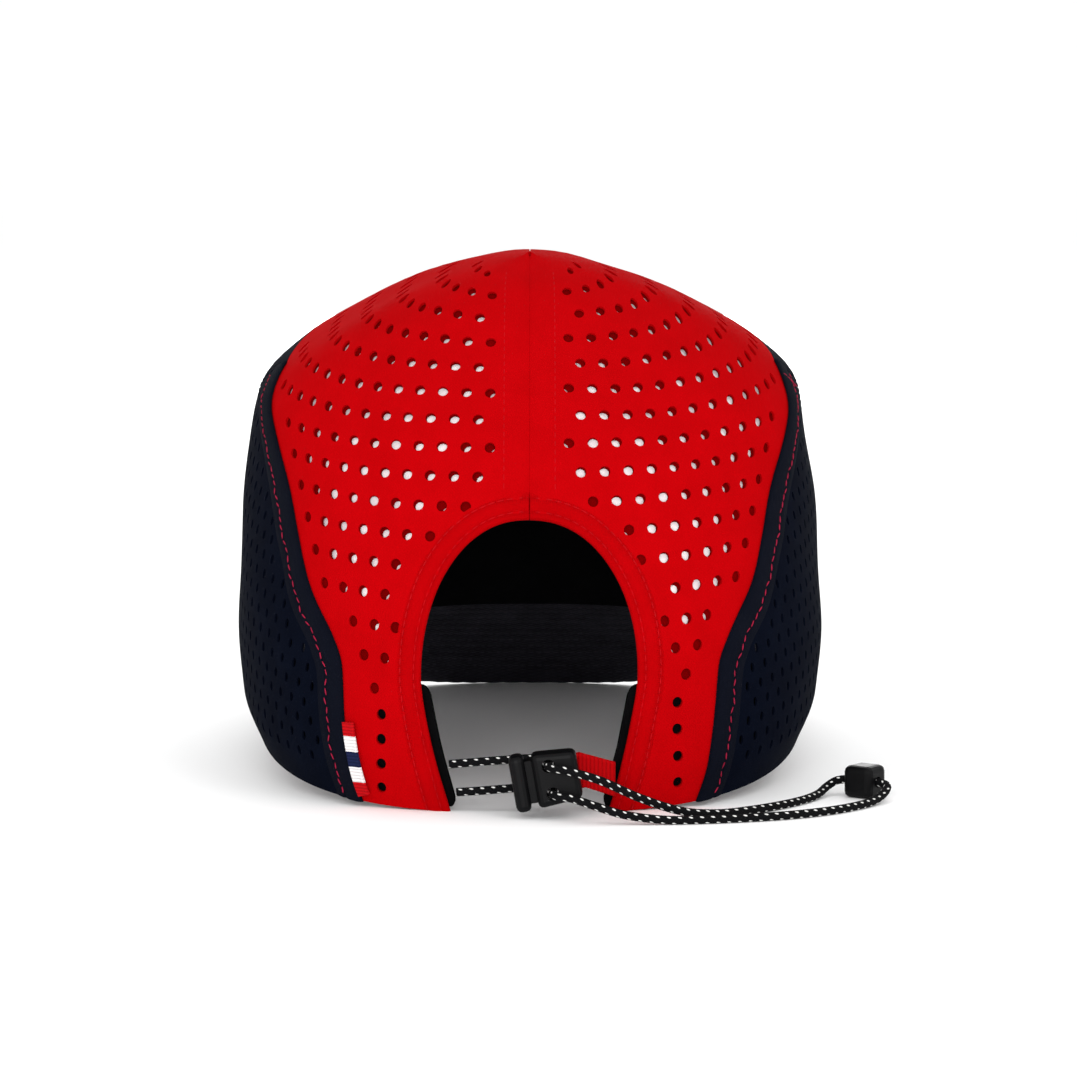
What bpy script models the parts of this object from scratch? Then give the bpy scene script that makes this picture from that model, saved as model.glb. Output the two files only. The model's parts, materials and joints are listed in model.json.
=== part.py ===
"""Running cap with a perforated rear, an arch opening and an elastic cord lock.

The cap stands by itself on the hems of its two rear arms and on the front edge of its brim.
+Z is up, the brim points to +Y, and the floor is z = 0. Lengths are in metres.

A place on the crown is given by its turn and its height. The turn is 0 at the middle of the
rear, 90 degrees at the cap's +X side and 180 degrees at the front. The height is measured
square to the plane of the hem, which rises towards the front.
"""
import math
from collections import namedtuple

import bmesh
import bpy
import numpy as np
from mathutils import Matrix, Vector
from mathutils.geometry import delaunay_2d_cdt

MM = 0.001

# Crown
HALF_WIDTH = 83.0 * MM
REAR_DEPTH = 97.0 * MM
FRONT_DEPTH = 97.0 * MM
CROWN_HEIGHT = 134.0 * MM
HEM_SLOPE = math.radians(9.8)
HEM_PRESSED = 0.3 * MM
CLOTH_WALL = 1.0 * MM
SEAM_GAP = 0.4 * MM
TOP_SEAM_GAP = 0.6 * MM
LAYER_GAP = 0.4 * MM
LINING_GAP = 0.8 * MM

# Arch at the back
ARCH_HEIGHT = 78.0 * MM
ARCH_HALF_WIDTH = 29.6 * MM
ARCH_WAIST = 37.0 * MM
ARCH_FOOT_HALF_WIDTH = 21.6 * MM
ARCH_SQUARENESS = 2.2
ARCH_FOOT_CURVE = 1.35

# Layers inside the crown
SWEATBAND_HEIGHT = 35.0 * MM
SWEATBAND_WALL = 1.6 * MM
SWEATBAND_SHOWS = 2.0 * MM
SWEATBAND_LIFT = 0.6 * MM
TAPE_HALF_WIDTH = 8.0 * MM
LINING_WALL = 1.0 * MM
LINING_ARCH_MARGIN = 6.0 * MM
LINING_SEAM_MARGIN = 8.0 * MM

# Perforations in the rear panels
HOLE_DIAMETER = 3.0 * MM
HOLE_SIDES = 8
HOLE_PITCH = 6.6 * MM
HOLE_ROW_PITCH = 8.75 * MM
HOLE_FIRST_ROW = 5.0 * MM
HOLE_CENTRE_MARGIN = 10.8 * MM
HOLE_EDGE_MARGIN = 6.2 * MM
HOLE_STEP = 2
HOLE_LAST_TURN = math.radians(90.0)

# Brim
BRIM_REACH = 54.0 * MM
BRIM_HALF_WIDTH = 78.0 * MM
BRIM_WALL = 2.4 * MM
BRIM_BULGE = 1.6 * MM
BRIM_EDGE_LIFT = 3.3
BRIM_EDGE_ROUNDNESS = 2.3
BRIM_SECTIONS = 25
BRIM_SECTION_POINTS = 7

# Striped tab in the left seam
TAB_WIDTH = 3.6 * MM
TAB_LENGTH = 21.0 * MM
TAB_FOOT = 2.0 * MM
TAB_WALL = 1.0 * MM

# Cord lock, in its own frame: x along the button's travel, z along its height
LOCK_PLACE = Vector((1.4 * MM, -103.8 * MM, 10.2 * MM))
LOCK_LEAN = math.radians(10.0)
LOCK_LENGTH = 12.3 * MM
LOCK_DEPTH = 9.2 * MM
LOCK_HEIGHT = 15.0 * MM
LOCK_END_HEIGHT = 13.0 * MM
LOCK_ROUNDING = 1.6 * MM
LOCK_HOLE_DIAMETER = 3.6 * MM
LOCK_HOLE_AT = 4.4 * MM
LOCK_HOLE_SPREAD = 3.85 * MM
BUTTON_TRAVEL = 1.7 * MM
BUTTON_GAP = 1.9 * MM
BUTTON_THICKNESS = 4.2 * MM
BUTTON_HEIGHT = 15.4 * MM
BUTTON_DEPTH = 8.8 * MM
STEM_CLEARANCE = 0.3 * MM
STEM_DEPTH = 4.8 * MM
STEM_HEIGHT = 11.6 * MM
STEM_END_WALL = 0.8 * MM
POST_SIZE = 1.3 * MM
POST_SLOT = 1.5 * MM

# Ribbon loop that holds the lock to the +X arm
RIBBON_HEIGHT = 9.4 * MM
RIBBON_WALL = 0.8 * MM
RIBBON_CLEARANCE = 0.3 * MM
RIBBON_END_HEIGHT = 9.6 * MM

# Elastic cord and the toggle on it
CORD_DIAMETER = 2.4 * MM
CORD_CLEARANCE = 0.3 * MM
CORD_SAMPLES = 62
TOGGLE_SIZE = 9.0 * MM
TOGGLE_ROUNDING = 1.8 * MM
TOGGLE_HOLE_DIAMETER = 3.2 * MM
TOGGLE_PLACE = Vector((93.0 * MM, -70.0 * MM))
TOGGLE_TURN = math.radians(-35.6)

# Mesh size of the cloth pieces
SHEET_SPACING = 10.0 * MM
FRONT_SPACING = 12.0 * MM
EDGE_SPACING = 6.0 * MM
SEAM_POINTS = 22
RIDGE_POINTS = 13
SWEATBAND_COLUMNS = 56
SWEATBAND_ROWS = 4
LINING_COLUMNS = 7
STRIP_COLUMNS = 3
OUTLINE_SAMPLES = 40
SEAM_CROWDING = 1.5
ROW_SPACING_SHARE = 0.87
EDGE_CLEAR_SHARE = 0.45
HOLE_CLEAR_SHARE = 1.15

# Mesh size of the moulded pieces and the cord
ROUNDING_SEGMENTS = 3
BAR_SIDES = 16
CORD_STEPS = 24

# Samples of the curves that a pattern is measured on
PATTERN_HEIGHTS = 500
GIRTH_SAMPLES = 60
TURN_SAMPLES = 521
TURN_REACH = math.pi

Section = namedtuple("Section", "rise width rear front square")

# Level sections of the crown: rise is a share of CROWN_HEIGHT, width of HALF_WIDTH, rear of
# REAR_DEPTH and front of FRONT_DEPTH; square is the exponent of the section's outline.
CROWN_SECTIONS = (
    Section(rise=0.000, width=0.940, rear=1.000, front=1.000, square=2.60),
    Section(rise=0.090, width=0.995, rear=1.006, front=1.000, square=2.55),
    Section(rise=0.200, width=1.003, rear=1.004, front=0.990, square=2.50),
    Section(rise=0.340, width=0.997, rear=0.975, front=0.965, square=2.45),
    Section(rise=0.470, width=0.988, rear=0.905, front=0.920, square=2.40),
    Section(rise=0.590, width=0.960, rear=0.800, front=0.850, square=2.40),
    Section(rise=0.700, width=0.925, rear=0.680, front=0.750, square=2.40),
    Section(rise=0.780, width=0.812, rear=0.570, front=0.650, square=2.35),
    Section(rise=0.850, width=0.643, rear=0.455, front=0.530, square=2.25),
    Section(rise=0.915, width=0.444, rear=0.335, front=0.395, square=2.15),
    Section(rise=0.965, width=0.225, rear=0.205, front=0.245, square=2.05),
    Section(rise=1.000, width=0.000, rear=0.000, front=0.000, square=2.00),
)

SeamRow = namedtuple("SeamRow", "rise turn")

# Seam between the rear and the side panels: rise is a share of CROWN_HEIGHT, turn is in degrees
REAR_SEAM = (
    SeamRow(rise=0.000, turn=28.0),
    SeamRow(rise=0.050, turn=29.2),
    SeamRow(rise=0.150, turn=30.8),
    SeamRow(rise=0.280, turn=32.3),
    SeamRow(rise=0.340, turn=35.0),
    SeamRow(rise=0.420, turn=41.3),
    SeamRow(rise=0.500, turn=46.3),
    SeamRow(rise=0.580, turn=53.0),
    SeamRow(rise=0.650, turn=61.5),
    SeamRow(rise=0.700, turn=69.5),
    SeamRow(rise=0.740, turn=79.0),
    SeamRow(rise=0.765, turn=88.0),
)

# Seam between the side panels and the front
FRONT_SEAM = (
    SeamRow(rise=0.000, turn=119.0),
    SeamRow(rise=0.200, turn=116.0),
    SeamRow(rise=0.350, turn=112.5),
    SeamRow(rise=0.500, turn=108.0),
    SeamRow(rise=0.620, turn=103.0),
    SeamRow(rise=0.700, turn=98.5),
    SeamRow(rise=0.740, turn=95.0),
    SeamRow(rise=0.765, turn=92.0),
)

# Seam over the top, from the shoulder to the middle of the front
TOP_SEAM = (
    SeamRow(rise=0.765, turn=90.0),
    SeamRow(rise=0.800, turn=108.0),
    SeamRow(rise=0.850, turn=123.0),
    SeamRow(rise=0.900, turn=144.0),
    SeamRow(rise=0.925, turn=161.0),
    SeamRow(rise=0.940, turn=180.0),
)


def column(rows, name):
    """One column of a table as an array."""
    return np.array([getattr(row, name) for row in rows], dtype=float)


def ease(shares, values, at):
    """Cubic through a table's rows that never overshoots them."""
    at = np.clip(at, shares[0], shares[-1])
    rises = np.diff(values) / np.diff(shares)
    slopes = np.concatenate([rises[:1], np.zeros(len(shares) - 2), rises[-1:]])
    for i in range(1, len(shares) - 1):
        if rises[i - 1] * rises[i] > 0.0:
            slopes[i] = 2.0 * rises[i - 1] * rises[i] / (rises[i - 1] + rises[i])
    k = np.clip(np.searchsorted(shares, at) - 1, 0, len(shares) - 2)
    span = shares[k + 1] - shares[k]
    t = (at - shares[k]) / span
    return ((2 * t**3 - 3 * t**2 + 1) * values[k] + (t**3 - 2 * t**2 + t) * span * slopes[k]
            + (3 * t**2 - 2 * t**3) * values[k + 1] + (t**3 - t**2) * span * slopes[k + 1])


def section_at(height):
    """Half width, rear depth, front depth and squareness of the crown at a height."""
    rise = np.asarray(height, dtype=float) / CROWN_HEIGHT
    shares = column(CROWN_SECTIONS, "rise")
    tiny = 1e-9
    width = np.maximum(HALF_WIDTH * ease(shares, column(CROWN_SECTIONS, "width"), rise), tiny)
    rear = np.maximum(REAR_DEPTH * ease(shares, column(CROWN_SECTIONS, "rear"), rise), tiny)
    front = np.maximum(FRONT_DEPTH * ease(shares, column(CROWN_SECTIONS, "front"), rise), tiny)
    return width, rear, front, ease(shares, column(CROWN_SECTIONS, "square"), rise)


def level_point(turn, height):
    """Crown's outer face at a turn and a height, in the frame of the hem's plane."""
    turn, height = np.broadcast_arrays(np.asarray(turn, float), np.asarray(height, float))
    width, rear, front, square = section_at(height)
    sine, cosine = np.sin(turn), np.cos(turn)
    depth = np.where(cosine >= 0.0, rear, front)
    radius = (np.abs(sine / width) ** square + np.abs(cosine / depth) ** square) ** (-1.0 / square)
    return np.stack([radius * sine, -radius * cosine, height], axis=-1)


def level_normal(turn, height):
    """Outward normal of the crown at a turn and a height."""
    step_turn = 1e-4
    step_height = 1e-6
    low = np.clip(np.asarray(height, float), 0.0, CROWN_HEIGHT - 2.0 * step_height)
    along = level_point(turn + step_turn, low) - level_point(turn - step_turn, low)
    up = level_point(turn, low + step_height) - level_point(turn, low)
    normal = np.cross(along, up)
    return normal / np.linalg.norm(normal, axis=-1, keepdims=True)


def to_world(points):
    """Points from the hem's plane to the frame of the floor."""
    sine, cosine = math.sin(HEM_SLOPE), math.cos(HEM_SLOPE)
    across, ahead, up = points[..., 0], points[..., 1], points[..., 2]
    lift = REAR_DEPTH * sine - HEM_PRESSED
    return np.stack([across, ahead * cosine - up * sine, ahead * sine + up * cosine + lift], axis=-1)


def crown_point(turn, height, depth=0.0):
    """World place on the crown, at a depth inside its outer face."""
    return to_world(level_point(turn, height) - depth * level_normal(turn, height))


def turn_from_across(across, height):
    """Turn of the rear face at a distance across from the middle."""
    width, rear, _, square = section_at(height)
    share = np.clip(np.abs(across) / width, 0.0, 1.0)
    behind = rear * (1.0 - share**square) ** (1.0 / square)
    return np.arctan2(across, behind)


def seam_turn(rows, height):
    """Turn of a seam at a height."""
    return np.radians(ease(column(rows, "rise"), column(rows, "turn"), np.asarray(height) / CROWN_HEIGHT))


def arch_half_width(height, margin=0.0):
    """Half width of the arch at a height, or of the same arch drawn a margin larger."""
    height = np.asarray(height, dtype=float)
    above = np.clip((height - ARCH_WAIST) / (ARCH_HEIGHT + margin - ARCH_WAIST), 0.0, 1.0)
    top = (1.0 - above**ARCH_SQUARENESS) ** (1.0 / ARCH_SQUARENESS)
    below = np.clip(height / ARCH_WAIST, 0.0, 1.0)
    foot = 1.0 - (1.0 - below) ** ARCH_FOOT_CURVE
    reach = ARCH_FOOT_HALF_WIDTH + (ARCH_HALF_WIDTH - ARCH_FOOT_HALF_WIDTH) * foot
    return np.where(height > ARCH_WAIST, (ARCH_HALF_WIDTH + margin) * top, reach + margin)


class Pattern:
    """Flat pattern of one part of the crown: across is the girth from a middle line, up its length."""

    def __init__(self, middle):
        self.middle = middle
        self.heights = np.linspace(0.0, CROWN_HEIGHT, PATTERN_HEIGHTS)
        line = level_point(np.full(PATTERN_HEIGHTS, middle), self.heights)
        steps = np.linalg.norm(np.diff(line, axis=0), axis=1)
        self.lengths = np.concatenate([[0.0], np.cumsum(steps)])

    def up(self, height):
        """Length up the middle line to a height."""
        return np.interp(height, self.heights, self.lengths)

    def height(self, up):
        """Height reached by a length up the middle line."""
        return np.interp(up, self.lengths, self.heights)

    def flat(self, turn, height):
        """Place on the pattern of a turn and a height."""
        turn, height = np.broadcast_arrays(np.asarray(turn, float), np.asarray(height, float))
        shares = np.linspace(0.0, 1.0, GIRTH_SAMPLES)
        turns = self.middle + (turn[..., None] - self.middle) * shares
        line = level_point(turns, np.repeat(height[..., None], GIRTH_SAMPLES, axis=-1))
        girth = np.linalg.norm(np.diff(line, axis=-2), axis=-1).sum(axis=-1)
        return np.stack([np.copysign(girth, turn - self.middle), self.up(height)], axis=-1)

    def place(self, points):
        """Turn and height of places on the pattern."""
        heights = self.height(points[:, 1])
        turns = self.middle + np.linspace(-TURN_REACH, TURN_REACH, TURN_SAMPLES)
        line = level_point(turns[None, :], heights[:, None])
        steps = np.linalg.norm(np.diff(line, axis=1), axis=-1)
        girths = np.concatenate([np.zeros((len(points), 1)), np.cumsum(steps, axis=1)], axis=1)
        girths -= girths[:, [TURN_SAMPLES // 2]]
        found = [np.interp(point[0], row, turns) for point, row in zip(points, girths)]
        return np.array(found), heights


def spread(start, end, length, spacing):
    """Evenly spaced values from start to end, about a spacing apart over a length."""
    count = max(2, int(round(length / spacing)) + 1)
    return np.linspace(start, end, count)


def even_line(points, spacing):
    """The same line with its points about a spacing apart."""
    steps = np.linalg.norm(np.diff(points, axis=0), axis=1)
    along = np.concatenate([[0.0], np.cumsum(steps)])
    wanted = spread(0.0, along[-1], along[-1], spacing)
    return np.stack([np.interp(wanted, along, points[:, axis]) for axis in range(points.shape[1])], axis=1)


def shifted(points, distance):
    """A flat line moved to its left by a distance."""
    tangent = np.gradient(points, axis=0)
    tangent /= np.linalg.norm(tangent, axis=1, keepdims=True)
    return points + distance * np.stack([-tangent[:, 1], tangent[:, 0]], axis=1)


def inside_outline(points, outline):
    """Which points lie inside a closed flat outline."""
    x, y = points[:, 0], points[:, 1]
    inside = np.zeros(len(points), dtype=bool)
    for (x0, y0), (x1, y1) in zip(outline, np.roll(outline, -1, axis=0)):
        crosses = (y0 > y) != (y1 > y)
        rise = np.where(y1 == y0, 1.0, y1 - y0)
        inside ^= crosses & (x < (x1 - x0) * (y - y0) / rise + x0)
    return inside


def distance_to(points, line):
    """Distance from each point to the nearest point of a closed flat line."""
    starts, ends = line, np.roll(line, -1, axis=0)
    span = ends - starts
    offset = points[:, None, :] - starts[None, :, :]
    share = (offset * span).sum(axis=2) / np.maximum((span**2).sum(axis=1), 1e-18)
    nearest = starts + np.clip(share, 0.0, 1.0)[..., None] * span
    return np.linalg.norm(points[:, None, :] - nearest, axis=2).min(axis=1)


def hole_ring(pattern, centre):
    """Rim of one round hole, laid out on the pattern."""
    turn, height = (value[0] for value in pattern.place(centre[None, :]))
    normal = level_normal(turn, height)
    across = np.cross([0.0, 0.0, 1.0], normal)
    across /= np.linalg.norm(across)
    up = np.cross(normal, across)
    angles = (np.arange(HOLE_SIDES) + 0.5) * 2.0 * math.pi / HOLE_SIDES
    circle = np.cos(angles)[:, None] * across + np.sin(angles)[:, None] * up
    rim = level_point(turn, height) + HOLE_DIAMETER / 2.0 * circle
    return pattern.flat(np.arctan2(rim[:, 0], -rim[:, 1]), rim[:, 2])


def cut_sheet(outline, rings, spacing):
    """Triangles that fill a flat outline and leave its holes open."""
    low, high = outline.min(axis=0), outline.max(axis=0)
    rows = np.arange(low[1], high[1], spacing * ROW_SPACING_SHARE)
    grid = [(x + (i % 2) * spacing / 2.0, y) for i, y in enumerate(rows)
            for x in np.arange(low[0], high[0], spacing)]
    grid = np.array(grid)
    grid = grid[inside_outline(grid, outline)]
    grid = grid[distance_to(grid, outline) > spacing * EDGE_CLEAR_SHARE]
    centres = np.array([ring.mean(axis=0) for ring in rings]).reshape(-1, 2)
    if len(centres):
        gaps = np.linalg.norm(grid[:, None, :] - centres[None, :, :], axis=2).min(axis=1)
        grid = grid[gaps > HOLE_DIAMETER * HOLE_CLEAR_SHARE]
    points, edges = [], []
    for loop in [outline] + list(rings):
        first = len(points)
        points += [Vector(point) for point in loop]
        edges += [(first + i, first + (i + 1) % len(loop)) for i in range(len(loop))]
    points += [Vector(point) for point in grid]
    found, _, faces, _, _, _ = delaunay_2d_cdt(points, edges, [], 1, 1e-7)
    flat = np.array([tuple(point) for point in found])
    kept = []
    for face in faces:
        middle = flat[list(face)].mean(axis=0)
        in_hole = len(centres) and np.linalg.norm(centres - middle, axis=1).min() < HOLE_DIAMETER / 2.5
        if not in_hole:
            kept.append(tuple(face))
    return flat, kept


def material(name, colour, roughness):
    """Plain material with the part's colour; nothing on the cap is metal."""
    made = bpy.data.materials.new(name)
    made.use_nodes = True
    shader = made.node_tree.nodes["Principled BSDF"]
    shader.inputs["Base Color"].default_value = (*colour, 1.0)
    shader.inputs["Roughness"].default_value = roughness
    shader.inputs["Metallic"].default_value = 0.0
    return made


def add_object(name, mesh, finish, collection):
    """Object of a mesh, in a collection and with a material."""
    mesh.materials.clear()
    mesh.materials.append(finish)
    made = bpy.data.objects.new(name, mesh)
    collection.objects.link(made)
    return made


def rest_on_floor(mesh):
    """Flattens what comes down to the floor, as cloth that carries the cap."""
    for vertex in mesh.vertices:
        if vertex.co.z < 2.0 * HEM_PRESSED:
            vertex.co.z = 0.0


def lay_cloth(name, places, faces, depth, wall, side, finish, collection):
    """Cloth between two skins of the crown, so that neighbours keep their gap through the wall.

    places holds a turn and a height for each point, and depth is that of the outer skin.
    """
    turns, heights = places
    skins = np.concatenate([crown_point(turns, heights, depth), crown_point(turns, heights, depth + wall)])
    skins[:, 0] *= side
    count = len(turns)
    inner = [tuple(count + i for i in reversed(face)) for face in faces]
    ways = {(face[i], face[(i + 1) % len(face)]) for face in faces for i in range(len(face))}
    rim = [(b, a, count + a, count + b) for a, b in sorted(ways) if (b, a) not in ways]
    mesh = bpy.data.meshes.new(name)
    mesh.from_pydata([tuple(point) for point in skins], [], list(faces) + inner + rim)
    if side < 0:
        mesh.flip_normals()
    rest_on_floor(mesh)
    return add_object(name, mesh, finish, collection)


def pattern_piece(name, pattern, outline, rings, spacing, side, finish, collection):
    """Cloth panel cut from a pattern and laid on the crown."""
    flat, faces = cut_sheet(outline, rings, spacing)
    lay_cloth(name, pattern.place(flat), faces, 0.0, CLOTH_WALL, side, finish, collection)


def seam_heights(rows, count):
    """Heights of the points that both panels of a seam share, closer together near the shoulder."""
    shares = np.linspace(0.0, 1.0, count)
    return rows[-1].rise * CROWN_HEIGHT * (1.0 - (1.0 - shares) ** SEAM_CROWDING)


def top_seam_line(pattern):
    """Seam over the top on a pattern, from the shoulder to the middle of the front."""
    heights = np.linspace(TOP_SEAM[0].rise, TOP_SEAM[-1].rise, RIDGE_POINTS) * CROWN_HEIGHT
    return pattern.flat(seam_turn(TOP_SEAM, heights), heights)


def crest_line(pattern):
    """Middle of the front on a rear pattern, from the seam over the top back to the crown's top."""
    start = TOP_SEAM[-1].rise * CROWN_HEIGHT
    end = CROWN_HEIGHT - TOP_SEAM_GAP / 2.0
    heights = start + (end - start) * (1.0 - (1.0 - np.linspace(0.0, 1.0, OUTLINE_SAMPLES)) ** SEAM_CROWDING)
    turns = math.pi - TOP_SEAM_GAP / 2.0 / section_at(heights)[0]
    return even_line(pattern.flat(np.maximum(turns, math.pi / 2.0), heights), EDGE_SPACING)


def rear_outline(pattern):
    """Outline of the +X rear panel on its pattern, counter-clockwise from the foot of the arch."""
    half_gap = SEAM_GAP / 2.0
    foot, seam_foot = turn_from_across(ARCH_FOOT_HALF_WIDTH, 0.0), seam_turn(REAR_SEAM, 0.0)
    hem = pattern.flat(np.linspace(foot, seam_foot, OUTLINE_SAMPLES), 0.0)
    heights = seam_heights(REAR_SEAM, SEAM_POINTS)
    seam = shifted(pattern.flat(seam_turn(REAR_SEAM, heights), heights), half_gap)
    ridge = shifted(top_seam_line(pattern), half_gap)
    crest = crest_line(pattern)
    centre = np.linspace(CROWN_HEIGHT - TOP_SEAM_GAP / 2.0, ARCH_HEIGHT, OUTLINE_SAMPLES)
    middle = pattern.flat(turn_from_across(TOP_SEAM_GAP / 2.0, centre), centre)
    sweep = np.linspace(math.pi / 2.0, 0.0, OUTLINE_SAMPLES)[1:]
    above = ARCH_WAIST + (ARCH_HEIGHT - ARCH_WAIST) * np.sin(sweep)
    below = np.linspace(ARCH_WAIST, 0.0, OUTLINE_SAMPLES // 2)[1:]
    down = np.concatenate([above, below])
    arch = pattern.flat(turn_from_across(arch_half_width(down), down), down)
    arch = np.concatenate([middle[-1:], arch])
    ridge[-1] = crest[0] - np.array([half_gap, 0.0])
    return np.concatenate([even_line(hem, EDGE_SPACING)[:-1], seam, ridge[1:], crest[1:-1],
                           even_line(middle, EDGE_SPACING)[:-1], even_line(arch, EDGE_SPACING)[:-1]])


def side_outline(pattern):
    """Outline of the +X side panel on its pattern."""
    half_gap = SEAM_GAP / 2.0
    heights = seam_heights(FRONT_SEAM, SEAM_POINTS)
    front = shifted(pattern.flat(seam_turn(FRONT_SEAM, heights), heights), half_gap)
    heights = seam_heights(REAR_SEAM, SEAM_POINTS)[::-1]
    rear = shifted(pattern.flat(seam_turn(REAR_SEAM, heights), heights), half_gap)
    front[-1, 1] -= half_gap
    rear[0, 1] -= half_gap
    hem = even_line(np.stack([rear[-1], front[0]]), EDGE_SPACING)
    hem[:, 1] = 0.0
    return np.concatenate([hem[1:-1], front, rear])


def front_outline(pattern):
    """Outline of the front panel on its pattern."""
    half_gap = SEAM_GAP / 2.0
    heights = seam_heights(FRONT_SEAM, SEAM_POINTS)
    seam = shifted(pattern.flat(seam_turn(FRONT_SEAM, heights), heights), -half_gap)
    ridge = shifted(top_seam_line(pattern), -half_gap)
    ridge[-1] = (0.0, ridge[-1, 1])
    middle = np.array([[0.0, 0.0]])
    hem = even_line(np.concatenate([middle, seam[:1]]), EDGE_SPACING)
    near = np.concatenate([hem[:-1], seam, ridge[1:]])
    far = (near * np.array([-1.0, 1.0]))[-2:0:-1]
    return np.concatenate([near, far])[::-1]


def hole_places(pattern, outline):
    """Hole centres on the +X rear panel: staggered rows between the seams and the arch."""
    places = []
    rows = np.arange(HOLE_FIRST_ROW, outline[:, 1].max(), HOLE_ROW_PITCH)
    for index, up in enumerate(rows):
        stagger = (index % (2 * HOLE_STEP)) * HOLE_PITCH / 2.0
        across = np.arange(HOLE_CENTRE_MARGIN + stagger, outline[:, 0].max(), HOLE_STEP * HOLE_PITCH)
        places += [(x, up) for x in across]
    places = np.array(places)
    places = places[inside_outline(places, outline)]
    places = places[distance_to(places, outline) > HOLE_EDGE_MARGIN]
    return places[pattern.place(places)[0] < HOLE_LAST_TURN]


def ladder(name, pattern, ups, lefts, rights, columns, depth, wall, side, finish, collection):
    """Cloth strip between two edges that are given row by row up a pattern."""
    shares = np.linspace(0.0, 1.0, columns)
    flat = np.array([(left + (right - left) * share, up)
                     for up, left, right in zip(ups, lefts, rights) for share in shares])
    faces = [(r * columns + c, r * columns + c + 1, (r + 1) * columns + c + 1, (r + 1) * columns + c)
             for r in range(len(ups) - 1) for c in range(columns - 1)]
    lay_cloth(name, pattern.place(flat), faces, depth, wall, side, finish, collection)


def rear_edge(height):
    """Turn of the rear panels' outer edge: the seam up to the shoulder, then the seam over the top."""
    shoulder = REAR_SEAM[-1].rise * CROWN_HEIGHT
    return np.where(height < shoulder, seam_turn(REAR_SEAM, height), math.pi / 2.0)


def build_crown(collection, finishes):
    """Rear, side and front panels of the crown."""
    rear = Pattern(0.0)
    outline = rear_outline(rear)
    rings = [hole_ring(rear, place) for place in hole_places(rear, outline)]
    side_pattern = Pattern(math.pi / 2.0)
    front = Pattern(math.pi)
    for side, word in ((-1, "left"), (1, "right")):
        pattern_piece(f"crown_panel_{word}", rear, outline, rings, SHEET_SPACING, side, finishes["red"],
                      collection)
        pattern_piece(f"side_panel_{word}", side_pattern, side_outline(side_pattern), [], SHEET_SPACING, side,
                      finishes["navy"], collection)
    pattern_piece("front_panel", front, front_outline(front), [], FRONT_SPACING, 1, finishes["navy"],
                  collection)


def build_lining(collection, finishes):
    """White layer behind the perforations and the tape behind the centre seam."""
    rear = Pattern(0.0)
    depth = CLOTH_WALL + LINING_GAP
    low = SWEATBAND_LIFT + SWEATBAND_HEIGHT + LAYER_GAP
    ups = spread(rear.up(low), rear.lengths[-1], rear.lengths[-1] - rear.up(low), SHEET_SPACING)
    heights = rear.height(ups)
    beside = heights < ARCH_HEIGHT + LINING_ARCH_MARGIN
    arch = np.where(beside, arch_half_width(heights, LINING_ARCH_MARGIN), 0.0)
    lefts = np.maximum(rear.flat(turn_from_across(arch, heights), heights)[:, 0], TAPE_HALF_WIDTH + LAYER_GAP)
    rights = rear.flat(rear_edge(heights), heights)[:, 0] - LINING_SEAM_MARGIN
    kept = rights - lefts > LINING_SEAM_MARGIN
    for side, word in ((-1, "left"), (1, "right")):
        ladder(f"crown_lining_{word}", rear, ups[kept], lefts[kept], rights[kept], LINING_COLUMNS, depth,
               LINING_WALL, side, finishes["white"], collection)
    start = rear.up(ARCH_HEIGHT) + LAYER_GAP
    end = rear.lengths[-1] - TAPE_HALF_WIDTH
    ups = spread(start, end, end - start, SHEET_SPACING)
    edge = np.full(len(ups), TAPE_HALF_WIDTH)
    ladder("centre_seam_tape", rear, ups, -edge, edge, STRIP_COLUMNS, depth, LINING_WALL, 1,
           finishes["black"], collection)


def build_sweatband(collection, finishes):
    """Black band inside the hem, open at the arch, where its ends show past the arms."""
    rows = np.linspace(SWEATBAND_LIFT, SWEATBAND_LIFT + SWEATBAND_HEIGHT, SWEATBAND_ROWS)
    columns = SWEATBAND_COLUMNS
    ends = turn_from_across(arch_half_width(rows) - SWEATBAND_SHOWS, rows)
    turns = np.concatenate([np.linspace(end, 2.0 * math.pi - end, columns) for end in ends])
    faces = [(r * columns + c, r * columns + c + 1, (r + 1) * columns + c + 1, (r + 1) * columns + c)
             for r in range(len(rows) - 1) for c in range(columns - 1)]
    lay_cloth("sweatband", (turns, np.repeat(rows, columns)), faces, CLOTH_WALL + LAYER_GAP, SWEATBAND_WALL,
              1, finishes["black"], collection)


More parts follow.
